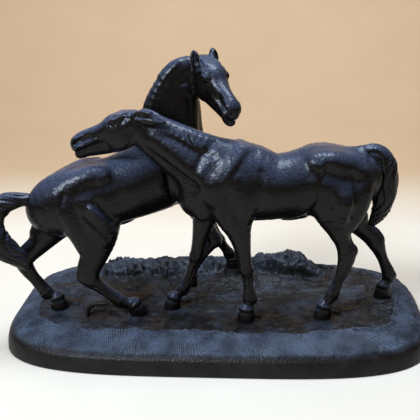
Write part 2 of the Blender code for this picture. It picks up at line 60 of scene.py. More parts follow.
# Clay is a block of distances that shapes are added to and then skinned
class Clay:
    def __init__(self, low, high, step):
        self.step = step
        self.low = np.array(low, float)
        self.counts = np.ceil((np.array(high, float) - self.low) / step).astype(int) + 1
        self.lines = [(self.low[i] + step * np.arange(self.counts[i])).astype(np.float32) for i in range(3)]
        self.field = np.full(self.counts, faraway, np.float32)

    def window(self, low, high):
        # the part of the block between two corners, or None when it is elsewhere
        a = np.maximum(np.floor((np.array(low) - self.low) / self.step).astype(int), 0)
        b = np.minimum(np.ceil((np.array(high) - self.low) / self.step).astype(int) + 1, self.counts)
        if np.any(a >= b):
            return None
        cut = tuple(slice(a[i], b[i]) for i in range(3))
        x = self.lines[0][cut[0]][:, None, None]
        y = self.lines[1][cut[1]][None, :, None]
        z = self.lines[2][cut[2]][None, None, :]
        return cut, (x, y, z)

    def skin(self):
        grid = openvdb.FloatGrid(3.0)
        grid.copyFromArray(np.clip(self.field, -3.0, 3.0))
        points, quads = grid.convertToQuads(0.0)
        return self.low + points.astype(float) * self.step, quads.astype(np.int64)


def eased(t):
    return t * t * (3 - 2 * t)


def flatPoints(x, y):
    return np.stack([x, y, np.zeros_like(x)], axis=1)


def softUnion(a, b, k):
    h = np.maximum(k - np.abs(a - b), 0.0)
    return np.minimum(a, b) - h * h * (0.25 / k)


def curve(stations, steps):
    # a smooth line through the stations, with their widths
    points = np.array(stations, float)
    ends = np.vstack([points[0], points, points[-1]])
    out = []
    for i in range(len(points) - 1):
        p, q, r, s = ends[i:i + 4]
        for k in range(steps):
            t = k / steps
            out.append(0.5 * (2 * q + (r - p) * t + (2 * p - 5 * q + 4 * r - s) * t * t
                              + (3 * q - p - 3 * r + s) * t ** 3))
    out.append(points[-1])
    return np.array(out)


def ringFrames(rings, side):
    # centre, across, front and along of each ring
    side = np.array(side, float)
    frames = []
    for i in range(len(rings)):
        along = rings[min(i + 1, len(rings) - 1)][:3] - rings[max(i - 1, 0)][:3]
        along = along / np.linalg.norm(along)
        across = side - along * side.dot(along)
        across = across / np.linalg.norm(across)
        frames.append((rings[i][:3], across, np.cross(along, across), along))
    return frames


def dot(coords, centre, axis):
    x, y, z = coords
    centre, axis = np.asarray(centre, np.float32), np.asarray(axis, np.float32)
    return (x - centre[0]) * axis[0] + (y - centre[1]) * axis[1] + (z - centre[2]) * axis[2]


def tube(clay, stations, side=upright, steps=4, margin=6.0, follow=False, squareness=2.0):
    # distance to a limb of oval rings; with follow it also gives where along it and which way round
    rings = curve(stations, steps)
    frames = ringFrames(rings, side)
    reach = rings[:, 3:5].max(axis=1) + margin
    widest = np.maximum(reach, np.maximum(np.append(reach[1:], 0), np.append(0, reach[:-1])))[:, None]
    low = (rings[:, :3] - widest).min(axis=0)
    high = (rings[:, :3] + widest).max(axis=0)
    whole = clay.window(low, high)
    if whole is None:
        return None
    cut = whole[0]
    shape = tuple(c.stop - c.start for c in cut)
    best = np.full(shape, faraway, np.float32)
    place = np.zeros(shape, np.float32) if follow else None
    turn = np.zeros(shape, np.float32) if follow else None
    for i in range(len(rings) - 1):
        a, b = rings[i], rings[i + 1]
        length = np.linalg.norm(b[:3] - a[:3])
        if length < 1e-4:
            continue
        along = (b[:3] - a[:3]) / length
        across = frames[i][1] + frames[i + 1][1]
        across = across - along * across.dot(along)
        across /= np.linalg.norm(across)
        front = np.cross(along, across)
        r = max(reach[i], reach[i + 1])
        part = clay.window(np.minimum(a[:3], b[:3]) - r, np.maximum(a[:3], b[:3]) + r)
        if part is None:
            continue
        inner, coords = part
        local = tuple(slice(inner[j].start - cut[j].start, inner[j].stop - cut[j].start) for j in range(3))
        lengthwise = dot(coords, a, along)
        t = np.clip(lengthwise / np.float32(length), 0, 1)
        u = dot(coords, a, across)
        v = dot(coords, a, front)
        w = np.float32(a[3]) + t * np.float32(b[3] - a[3])
        d = np.float32(a[4]) + t * np.float32(b[4] - a[4])
        over = lengthwise - t * np.float32(length)
        small = np.minimum(w, d)
        if squareness == 2.0:
            ratio = np.sqrt((u / w) ** 2 + (v / d) ** 2 + (over / small) ** 2)
        else:
            flat = (np.abs(u / w) ** squareness + np.abs(v / d) ** squareness) ** (2 / squareness)
            ratio = np.sqrt(flat + (over / small) ** 2)
        size = np.sqrt(u * u + v * v + over * over)
        ratio = np.maximum(ratio, 1e-3)
        distance = size - size / ratio
        distance = np.maximum(distance, -small * 1.2)
        here = best[local]
        if follow:
            closer = distance < here
            place[local] = np.where(closer, (i + t) / steps, place[local])
            turn[local] = np.where(closer, np.arctan2(u, v), turn[local])
        best[local] = np.minimum(here, distance)
    if follow:
        return cut, best, place, turn
    return cut, best


def add(clay, made, softness):
    if made is not None:
        clay.field[made[0]] = softUnion(clay.field[made[0]], made[1], softness)


def remove(clay, made, softness):
    if made is not None:
        clay.field[made[0]] = -softUnion(-clay.field[made[0]], made[1], softness)


def muscle(clay, stations, softness=4.0, side=upright):
    add(clay, tube(clay, stations, side, 3, softness + 2), softness)


def lump(clay, centre, radii, softness, axes=None, hollow=False):
    # an oval pad of clay, or a hollow pressed into it; axes are its three directions
    axes = np.eye(3) if axes is None else axes
    reach = max(radii) + softness + 1
    part = clay.window(np.array(centre) - reach, np.array(centre) + reach)
    if part is None:
        return
    cut, coords = part
    spans = [dot(coords, centre, axes[i]) for i in range(3)]
    ratio = np.sqrt(sum((spans[i] / radii[i]) ** 2 for i in range(3)))
    size = np.sqrt(sum(s * s for s in spans))
    made = (cut, size - size / np.maximum(ratio, 1e-3))
    if hollow:
        remove(clay, made, softness)
    else:
        add(clay, made, softness)


def drawn(clay, basis, line, width, amount, facing=1.0, depth=(-60.0, 60.0), fade=1.2):
    # one stroke of the modelling tool, drawn on the surface as seen from the side, the front or above:
    # basis is (origin, first axis, second axis, axis towards the viewer)
    origin, first, second, towards = basis
    line = np.array(line, float)
    reach = 2.4 * width
    corners = []
    for a in (line[:, 0].min() - reach, line[:, 0].max() + reach):
        for b in (line[:, 1].min() - reach, line[:, 1].max() + reach):
            for c in depth:
                corners.append(origin + first * a + second * b + towards * c * facing)
    corners = np.array(corners)
    part = clay.window(corners.min(axis=0), corners.max(axis=0))
    if part is None:
        return
    cut, coords = part
    a = dot(coords, origin, first) / np.float32(first.dot(first))
    b = dot(coords, origin, second) / np.float32(second.dot(second))
    near = np.full(np.broadcast(a, b).shape, 1e6, np.float32)
    for (a0, b0), (a1, b1) in zip(line, line[1:]):
        da, db = a1 - a0, b1 - b0
        t = np.clip(((a - a0) * da + (b - b0) * db) / (da * da + db * db + 1e-9), 0, 1)
        near = np.minimum(near, (a - a0 - t * da) ** 2 + (b - b0 - t * db) ** 2)
    c = dot(coords, origin, towards) * np.float32(facing / towards.dot(towards))
    mask = 1 / (1 + np.exp(-np.clip((c - depth[0] - fade * 2) / fade * 2, -30, 30)))
    mask = mask / (1 + np.exp(-np.clip((depth[1] - fade * 2 - c) / fade * 2, -30, 30)))
    clay.field[cut] -= np.float32(amount) * np.exp(-near / np.float32(width * width)) * mask


def lattice(seed):
    return np.random.RandomState(seed).rand(*[latticeSize] * 3).astype(np.float32) * 2 - 1


def grain(points, size, seed):
    # smooth random bumps about that size, from -1 to 1
    table = lattice(seed)
    p = points / size + 100.0
    base = np.floor(p).astype(int)
    t = eased(p - base)
    value = 0.0
    for i in (0, 1):
        for j in (0, 1):
            for k in (0, 1):
                weight = (t[:, 0] if i else 1 - t[:, 0]) * (t[:, 1] if j else 1 - t[:, 1]) \
                    * (t[:, 2] if k else 1 - t[:, 2])
                corner = (base + (i, j, k)) % latticeSize
                value = value + weight * table[corner[:, 0], corner[:, 1], corner[:, 2]]
    return value


def makeMesh(name, points, faces):
    mesh = bpy.data.meshes.new(name)
    sides = faces.shape[1]
    mesh.vertices.add(len(points))
    mesh.vertices.foreach_set("co", (points * mm).astype(np.float32).ravel())
    mesh.loops.add(faces.size)
    mesh.loops.foreach_set("vertex_index", faces.astype(np.int32).ravel())
    mesh.polygons.add(len(faces))
    mesh.polygons.foreach_set("loop_start", np.arange(0, faces.size, sides, dtype=np.int32))
    mesh.update(calc_edges=True)
    mesh.validate()
    mesh.shade_smooth()
    return mesh


def trimFlat(mesh, cuts):
    # saw the casting off square at each joint; a cut is (centre, along, reach) and what lies beyond goes
    clean = bmesh.new()
    clean.from_mesh(mesh)
    for centre, along, reach in cuts:
        near = [v for v in clean.verts if (v.co - centre).length < reach]
        # dictionaries keep their order, so every run numbers the points alike
        faces = dict.fromkeys(f for v in near for f in v.link_faces)
        edges = dict.fromkeys(e for f in faces for e in f.edges)
        verts = dict.fromkeys(v for f in faces for v in f.verts)
        made = bmesh.ops.bisect_plane(clean, geom=[*verts, *edges, *faces], dist=1e-7,
                                      plane_co=centre, plane_no=along, clear_outer=True)
        rim = [e for e in made["geom_cut"] if isinstance(e, bmesh.types.BMEdge)]
        rim = [e for e in rim if e.is_boundary]
        bmesh.ops.holes_fill(clean, edges=rim, sides=0)
    bmesh.ops.delete(clean, geom=[v for v in clean.verts if not v.link_faces], context='VERTS')
    for e in clean.edges:
        if len(e.link_faces) == 2 and (len(e.link_faces[0].verts) > 8 or len(e.link_faces[1].verts) > 8):
            e.smooth = False
    clean.to_mesh(mesh)
    clean.free()


def roughen(mesh, amounts, keep=None):
    # push the surface in and out along its normals: cast grain
    count = len(mesh.vertices)
    points = np.empty(count * 3, np.float32)
    mesh.vertices.foreach_get("co", points)
    points = points.reshape(-1, 3).astype(float) / mm
    normals = np.empty(count * 3, np.float32)
    mesh.vertex_normals.foreach_get("vector", normals)
    normals = normals.reshape(-1, 3)
    push = np.zeros(count)
    for seed, (size, height) in enumerate(amounts):
        push += grain(points, size, seed + 3) * height
    if keep is not None:
        push *= keep(points)
    points += normals * push[:, None]
    mesh.vertices.foreach_set("co", (points * mm).astype(np.float32).ravel())
    mesh.update()


def showPiece(name, mesh, finish, nodes):
    piece = bpy.data.objects.new(name, mesh)
    bpy.context.scene.collection.objects.link(piece)
    piece.data.materials.append(finish)
    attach(piece, "root")
    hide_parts(*nodes)
    print("made", name, len(mesh.polygons), "faces")
    return piece


def nodesOf(name):
    made = bpy.data.materials.new(name)
    made.use_nodes = True
    nodes = made.node_tree.nodes
    return made, nodes, made.node_tree.links, nodes["Principled BSDF"]


def noiseNode(nodes, links, coords, scale, detailLevel=4.0, roughness=0.55):
    node = nodes.new("ShaderNodeTexNoise")
    node.inputs["Scale"].default_value = scale
    node.inputs["Detail"].default_value = detailLevel
    node.inputs["Roughness"].default_value = roughness
    links.new(coords, node.inputs["Vector"])
    return node.outputs["Fac"]


def rampNode(nodes, links, source, stops):
    node = nodes.new("ShaderNodeValToRGB")
    ramp = node.color_ramp
    while len(ramp.elements) < len(stops):
        ramp.elements.new(0.5)
    for element, (position, colour) in zip(ramp.elements, stops):
        element.position = position
        element.color = (*colour, 1.0) if len(colour) == 3 else colour
    links.new(source, node.inputs["Fac"])
    return node.outputs["Color"]


def mathNode(nodes, links, operation, first, second):
    node = nodes.new("ShaderNodeMath")
    node.operation = operation
    for socket, value in ((node.inputs[0], first), (node.inputs[1], second)):
        if isinstance(value, (int, float)):
            socket.default_value = value
        else:
            links.new(value, socket)
    return node.outputs[0]


def mixNode(nodes, links, share, first, second, blend='MIX'):
    node = nodes.new("ShaderNodeMix")
    node.data_type = 'RGBA'
    node.blend_type = blend
    sockets = [node.inputs[0], node.inputs[6], node.inputs[7]]
    for socket, value in zip(sockets, (share, first, second)):
        if isinstance(value, tuple):
            socket.default_value = (*value, 1.0)
        elif isinstance(value, (int, float)):
            socket.default_value = value
        else:
            links.new(value, socket)
    return node.outputs[2]


def attributeNode(nodes, word):
    node = nodes.new("ShaderNodeAttribute")
    node.attribute_name = word
    return node.outputs["Fac"]


def castIron(name, look):
    made, nodes, links, shader = nodesOf(name)
    coords = nodes.new("ShaderNodeTexCoord").outputs["Object"]
    geometry = nodes.new("ShaderNodeNewGeometry")
    patches = noiseNode(nodes, links, coords, look["patchScale"], 5.0)
    fine = noiseNode(nodes, links, coords, look["grainScale"], 3.0)
    colour = rampNode(nodes, links, patches, [(0.35, look["dark"]), (0.68, look["light"])])

    # painted highlight: upward faces are mixed towards a lighter bluish colour in place of the overhead light's
    # reflection, broken up by fine sparkle and cloudy patches
    split = nodes.new("ShaderNodeSeparateXYZ")
    links.new(geometry.outputs["Normal"], split.inputs[0])
    start, full = look["upward"]
    upward = rampNode(nodes, links, split.outputs["Z"], [(start, (0, 0, 0)), (full, (1, 1, 1))])
    sparkle = rampNode(nodes, links, fine, [(0.25, (0.35,) * 3), (0.7, (1,) * 3)])
    cloudy = rampNode(nodes, links, patches, [(0.36, (0.5,) * 3), (0.62, (1,) * 3)])
    paintedHighlight = mathNode(nodes, links, 'MULTIPLY', mathNode(nodes, links, 'MULTIPLY', upward, sparkle), cloudy)
    paintedHighlight = mathNode(nodes, links, 'MULTIPLY', paintedHighlight, look["paintedHighlightShare"])
    if "hatchPitch" in look:
        # painted highlight, taken per point by its share: stronger on the grass edge than on the earth, and striped
        # blade by blade
        highlightShare, hatch, grass = [attributeNode(nodes, word) for word in ("highlightShare", "hatch", "grass")]
        turns = mathNode(nodes, links, 'MULTIPLY', hatch, 2 * math.pi / look["hatchPitch"])
        blades = mathNode(nodes, links, 'MULTIPLY', mathNode(nodes, links, 'SINE', turns, 0.0), grass)
        striped = mathNode(nodes, links, 'MULTIPLY_ADD', blades, 0.45)
        striped.node.inputs[2].default_value = 0.80
        paintedHighlight = mathNode(nodes, links, 'MULTIPLY', paintedHighlight, mathNode(nodes, links, 'MULTIPLY', highlightShare, striped))
    colour = mixNode(nodes, links, paintedHighlight, colour, look["paintedHighlight"])

    # raised edges are rubbed, hollows hold more lacquer
    worn = rampNode(nodes, links, geometry.outputs["Pointiness"], [(0.52, (0, 0, 0)), (0.62, (1, 1, 1))])
    uneven = rampNode(nodes, links, patches, [(0.45, (0,) * 3), (0.6, (1,) * 3)])
    worn = mathNode(nodes, links, 'MULTIPLY', worn, uneven)
    worn = mathNode(nodes, links, 'MULTIPLY', worn, look["wearShare"])
    colour = mixNode(nodes, links, worn, colour, look["rubbed"])
    links.new(colour, shader.inputs["Base Color"])

    low, high = look["roughness"]
    rough = rampNode(nodes, links, fine, [(0.3, (low,) * 3), (0.72, (high,) * 3)])
    links.new(rough, shader.inputs["Roughness"])
    shader.inputs["Metallic"].default_value = look["metallic"]
    shader.inputs["Specular IOR Level"].default_value = look["specular"]
    shader.inputs["Coat Weight"].default_value = look["coat"]
    shader.inputs["Coat Roughness"].default_value = look["coatRoughness"]

    pebbles = nodes.new("ShaderNodeTexVoronoi")
    pebbles.inputs["Scale"].default_value = look["pebbleScale"]
    links.new(coords, pebbles.inputs["Vector"])
    height = mathNode(nodes, links, 'MULTIPLY', pebbles.outputs["Distance"], look["pebbleHeight"])
    height = mathNode(nodes, links, 'ADD', height, mathNode(nodes, links, 'MULTIPLY', fine, 0.6))
    if "hatchPitch" in look:
        height = mathNode(nodes, links, 'ADD', height, mathNode(nodes, links, 'MULTIPLY', blades, 0.35))
    bump = nodes.new("ShaderNodeBump")
    bump.inputs["Strength"].default_value = look["bumpStrength"]
    bump.inputs["Distance"].default_value = 0.0005
    links.new(height, bump.inputs["Height"])
    links.new(bump.outputs["Normal"], shader.inputs["Normal"])
    return made


# paintedHighlight is the bluish colour painted onto upward faces as a highlight, and paintedHighlightShare is how
# strongly it is mixed in
horseLook = {
    "dark": (0.0026, 0.0020, 0.0017), "light": (0.0042, 0.0034, 0.0031),
    "paintedHighlight": (0.068, 0.090, 0.158), "paintedHighlightShare": 0.95, "rubbed": (0.07, 0.066, 0.062), "wearShare": 0.22,
    "patchScale": 22.0, "grainScale": 620.0, "pebbleScale": 520.0, "pebbleHeight": 0.5,
    "roughness": (0.22, 0.36), "metallic": 0.0, "specular": 0.20, "coat": 0.0, "coatRoughness": 0.3,
    "bumpStrength": 0.48, "upward": (0.22, 0.92),
}
groundLook = dict(horseLook, specular=0.22, light=(0.0085, 0.0074, 0.0068),
                  paintedHighlight=(0.110, 0.152, 0.240), paintedHighlightShare=1.0, roughness=(0.34, 0.60),
                  patchScale=60.0, bumpStrength=0.9, upward=(0.35, 0.95), hatchPitch=1.55)
horseIron = castIron("satin_black_iron", horseLook)
groundIron = castIron("ground_black_iron", groundLook)


def oiledSteel():
    made, nodes, links, shader = nodesOf("oiled_steel")
    coords = nodes.new("ShaderNodeTexCoord").outputs["Object"]
    stretch = nodes.new("ShaderNodeMapping")
    stretch.inputs["Scale"].default_value = (1.0, 1.0, 9.0)
    links.new(coords, stretch.inputs["Vector"])
    turning = noiseNode(nodes, links, stretch.outputs["Vector"], 700.0, 2.0)
    stains = noiseNode(nodes, links, coords, 260.0, 4.0)
    colour = rampNode(nodes, links, stains, [(0.38, (0.16, 0.14, 0.12)), (0.62, (0.42, 0.42, 0.43))])
    links.new(colour, shader.inputs["Base Color"])
    links.new(rampNode(nodes, links, turning, [(0.3, (0.28,) * 3), (0.7, (0.48,) * 3)]), shader.inputs["Roughness"])
    shader.inputs["Metallic"].default_value = 1.0
    bump = nodes.new("ShaderNodeBump")
    bump.inputs["Strength"].default_value = 0.25
    bump.inputs["Distance"].default_value = 0.0002
    links.new(turning, bump.inputs["Height"])
    links.new(bump.outputs["Normal"], shader.inputs["Normal"])
    return made


steel = oiledSteel()

# The two horses. Each stands in its own frame: x forward, y to its left, z up.
# A station is (x, y, z, half width across, half depth).

frontHorse = {
    "name": "front_horse",
    "place": (50.0, -23.0, 187.0),
    "torso": [
        (-70.0, 0, 127.0, 7, 11), (-67.0, 0, 129.0, 14, 20), (-59.0, 0, 133.0, 19.5, 24),
        (-46.0, 0, 132.5, 23, 26), (-31.0, 0, 133.0, 23.5, 27.5), (-12.0, 0, 130.0, 24, 25.5),
        (5.0, 0, 129.0, 24.5, 26), (20.0, 0, 132.0, 23, 30), (33.0, 0, 133.0, 21, 32.5),
        (46.0, 0, 130.0, 19, 29), (57.0, 0, 124.0, 15.5, 22), (64.0, 0, 119.0, 11, 14),
    ],
    "neckJoint": 2,
    "neck": [
        (40.0, 0, 138.0, 16, 26), (54.0, -0.5, 147.5, 14.4, 24), (69.0, -1.5, 156.5, 12.2, 20.5),
        (86.0, -4.5, 168.0, 9.6, 16.0), (95.0, -6.0, 172.5, 8.6, 15.0), (101.0, -7.6, 175.6, 7.8, 13.0),
    ],
    "poll": (103.5, -9.0, 176.5), "muzzle": (156.0, -20.2, 162.0), "headLeft": (0.22, 0.975, 0.0),
    "headScale": 1.0, "headLong": 1.0,
    "ears": [
        [(0, 5.4, 8.6, 2.4, 3.2), (-4, 8.0, 9.0, 3.2, 4.6), (-11, 9.8, 7.0, 3.4, 5.8), (-17, 10.6, 4.2, 2.6, 4.6),
         (-23.5, 11.0, 1.2, 0.8, 1.0)],
        [(2, -5.0, 8.0, 2.2, 2.8), (-3, -6.4, 8.4, 2.6, 3.2), (-8, -6.6, 7.4, 2.4, 3.2), (-12, -6.2, 5.6, 1.9, 2.5),
         (-16, -5.6, 3.6, 0.8, 1.0)],
    ],
    "earHollow": (0.85, 0.55, 0.0), "eye": (15.2, 8.5, 9.6),
    "tailJoint": 1,
    "tail": [
        (-56.0, 0, 149.0, 4.5, 6), (-66.0, 0, 153.0, 5.2, 6), (-74.5, 0, 150.2, 7, 9.5),
        (-80.5, 0, 142.5, 7.6, 11), (-83.5, 0, 130.0, 7.6, 10.5), (-84.0, 0, 118.0, 7, 8.6),
        (-81.5, 0, 106.0, 5.6, 6.4), (-77.0, 0, 97.5, 3.4, 3.4), (-74.5, 0, 95.0, 1.3, 1.3),
    ],
    "legs": {
        "left_foreleg": [
            (42, 11, 136, 8, 17), (36, 12.5, 113, 9, 14), (31.5, 14, 100, 7.6, 10), (29, 14.5, 89, 6.4, 7.3),
            (27.5, 15, 78, 5.2, 5.8), (25.6, 15.2, 67, 4.8, 5.2), (24.4, 15.5, 60, 3.7, 4.1),
            (24, 15.8, 52, 3.1, 3.8), (23, 16.2, 43, 3.8, 5.2), (24.6, 16.6, 37, 3.6, 4.2),
            (25.5, 17, 33.4, 5, 5.7), (26, 17, 24.3, 6.2, 7)],
        "right_foreleg": [
            (46, -10.5, 136, 8, 17), (51, -11.5, 117, 9, 13.5), (55, -12, 104, 7.8, 10.5),
            (58.5, -12, 90, 6.4, 7.4), (61, -12, 79, 5.2, 5.8), (63.5, -12, 68, 4.8, 5.2),
            (66.5, -11.6, 59, 3.7, 4.2), (69.5, -11.2, 51, 3.1, 3.8), (75, -10.8, 40.5, 3.9, 5),
            (79.5, -10.4, 35.6, 3.6, 4.2), (82.5, -10, 33, 5, 5.7), (84.5, -10, 24.3, 6.2, 7)],
        "left_hindleg": [
            (-46, 10.5, 132, 11.5, 20), (-42.5, 12.5, 116, 10.5, 18), (-45, 14, 104, 8.8, 13.2),
            (-46.8, 15, 94, 6.8, 8.3), (-49.5, 15.6, 86, 5.3, 6.2), (-52.8, 16, 76, 4.7, 7.2),
            (-50.5, 16.5, 65, 4.1, 5.4), (-47, 17, 56, 3.3, 4.2), (-42, 17.6, 44, 3.9, 5),
            (-38, 18, 37.4, 3.6, 4.2), (-36, 18, 33.6, 5, 5.8), (-34.5, 18, 24.3, 6.2, 7.2)],
        "right_hindleg": [
            (-46, -10.5, 132, 11.5, 20), (-50, -12.5, 114, 10.5, 16.5), (-61, -13, 98, 8, 11.4),
            (-72, -13.5, 85.5, 5.9, 7.6), (-79.5, -14, 78.5, 4.9, 7.4), (-84.5, -14, 71, 4.6, 6.6),
            (-87.6, -14, 64, 3.9, 5), (-91, -14, 56, 3.3, 4.3), (-96, -14, 43.5, 4, 5.6),
            (-94, -14, 37.2, 3.6, 4.3), (-92.2, -14, 33.6, 5, 5.8), (-91.2, -14, 24.3, 6.2, 7.2)],
    },
    "muscles": [
        # shoulder blades, upper arms and breast
        [(26, 8.5, 160, 3.5, 6), (33, 12.5, 150, 5.5, 9), (42, 15.5, 138, 6.6, 10.5), (49, 14.5, 126, 6.5, 9)],
        [(26, -8.5, 160, 3.5, 6), (34, -12.5, 150, 5.5, 9), (44, -15.5, 138, 6.6, 10.5), (52, -14.5, 126, 6.5, 9)],
        [(32, 15, 140, 6, 8), (27, 17, 128, 7, 10), (25, 16.5, 116, 6.5, 8.5), (26, 15.5, 106, 5.5, 6)],
        [(36, -15, 138, 6, 8), (36, -16.5, 126, 7, 10), (42, -15.5, 113, 6.5, 8), (46, -14, 104, 5.5, 6)],
        [(54, 6.5, 130, 8, 9), (62, 6.5, 122, 6.5, 8), (58, 7.5, 111, 5.5, 6)],
        [(54, -6.5, 130, 8, 9), (62, -6.5, 122, 6.5, 8), (60, -7.5, 110, 5.5, 6)],
        # croup, thighs and buttocks
        [(-27, 12, 151, 6.5, 7), (-38, 12, 150, 9.5, 9), (-54, 9.5, 145, 9, 10), (-63, 8, 137, 7, 10)],
        [(-27, -12, 151, 6.5, 7), (-38, -12, 150, 9.5, 9), (-54, -9.5, 145, 9, 10), (-63, -8, 137, 7, 10)],
        [(-40, 12.5, 150, 6, 7), (-46, 15, 136, 7, 9), (-48, 19.5, 120, 9, 9.5), (-45, 17.5, 106, 6.5, 7)],
        [(-32, -16.5, 142, 6, 8), (-36, -18.5, 128, 7.5, 10), (-42, -18, 114, 7, 8.5), (-49, -16, 103, 5.5, 6.5)],
        [(-60, 12, 141, 7, 9), (-62, 14, 127, 8, 9), (-59, 14.5, 112, 7, 8), (-54, 15, 101, 5.5, 6)],
        [(-60, -12, 141, 7, 9), (-62, -14.5, 125, 8, 9), (-65, -14.5, 109, 7, 7), (-70, -13.5, 97, 5, 5.5)],
        # sheath under the belly
        [(-20, 0, 107, 5, 5), (-12, 0, 104.6, 4, 3.8), (-6, 0, 104, 3, 3)],
        # windpipe and the long neck muscle
        [(97, -6.2, 160.5, 5, 4.5), (84, -4.2, 149.5, 6, 5), (70, -1.5, 140, 7, 6), (58, 0, 131, 8, 7)],
        [(93, 0.5, 170, 3.5, 6), (78, 5.5, 159, 4.5, 7), (64, 10, 147, 6, 8.5), (53, 13, 136, 7, 9)],
        [(93, -13, 170, 3.5, 6), (78, -11.5, 159, 4.5, 7), (64, -12, 147, 6, 8.5), (54, -13, 136, 7, 9)],
    ],
    # side strokes: (side, width, amount, points (x, z)); 0 is both sides
    "strokes": [
        (1, 2.8, -1.2, [(48, 167), (58, 157), (64, 146), (62, 133)]),      # in front of the shoulder
        (-1, 3.0, -0.9, [(39, 160), (52, 146), (62, 132)]),
        (1, 2.6, -0.5, [(24, 158), (34, 146), (40, 136), (40, 128)]),      # behind the shoulder blade
        (-1, 2.2, -0.9, [(24, 158), (36, 146), (46, 134)]),
        (1, 2.6, 0.4, [(29, 160), (38, 147), (46, 132)]),                  # ridge of the shoulder blade
        (-1, 2.6, 0.4, [(29, 160), (40, 147), (49, 132)]),
        (1, 3.0, -1.1, [(14, 146), (15, 130), (18, 114), (22, 105)]),      # behind the elbow
        (-1, 3.0, -1.0, [(22, 146), (24, 130), (30, 112)]),
        (1, 1.8, -1.1, [(40, 126), (42, 115), (40, 106)]),                 # between arm and breast
        (-1, 7.0, -2.6, [(-22, 140), (-19, 128)]),                         # hollow of the flank
        (1, 3.6, 1.0, [(-8, 106), (-17, 111), (-24, 123), (-24, 138)]),    # fold of the flank
        (-1, 2.4, 1.2, [(-16, 107), (-26, 110), (-34, 116)]),
        (0, 4.0, 1.6, [(-25, 151), (-28, 149)]),                           # point of the hip
        (1, 6.5, -2.3, [(-37, 142), (-46, 138.5), (-57, 137)]),            # hollow under the croup
        (1, 2.2, -1.0, [(-13, 102), (-21, 110), (-28, 123), (-29, 137), (-35, 148)]),
        (-1, 2.3, -1.2, [(-49, 142), (-51, 126), (-56, 109)]),
        (1, 1.9, -1.1, [(-54, 143), (-56, 127), (-53, 110)]),
        (1, 2.2, 0.9, [(-38, 116), (-37, 108)]),                           # stifle
        (0, 2.6, 0.7, [(40, 171), (24, 167), (8, 159)]),                   # withers
        (1, 2.0, -1.5, [(96, 159), (84, 152), (72, 144), (62, 137)]),      # groove over the windpipe
        (-1, 2.0, -1.3, [(96, 159), (84, 152), (72, 144), (62, 137)]),
        (0, 2.2, 0.8, [(100, 189), (86, 183), (69, 177), (56, 172)]),      # crest
        (1, 2.6, -0.9, [(92, 176), (78, 170), (64, 162), (50, 158)]),      # under the crest
    ],
    "mane": {"side": 1, "from": (34, 169), "to": (72, 181), "count": 15,
             "length": 30.0, "height": 0.6, "wave": 1.4, "drift": 14.0},
    "tailLocks": {"count": 7, "depth": 1.0, "swirl": 0.55},
}

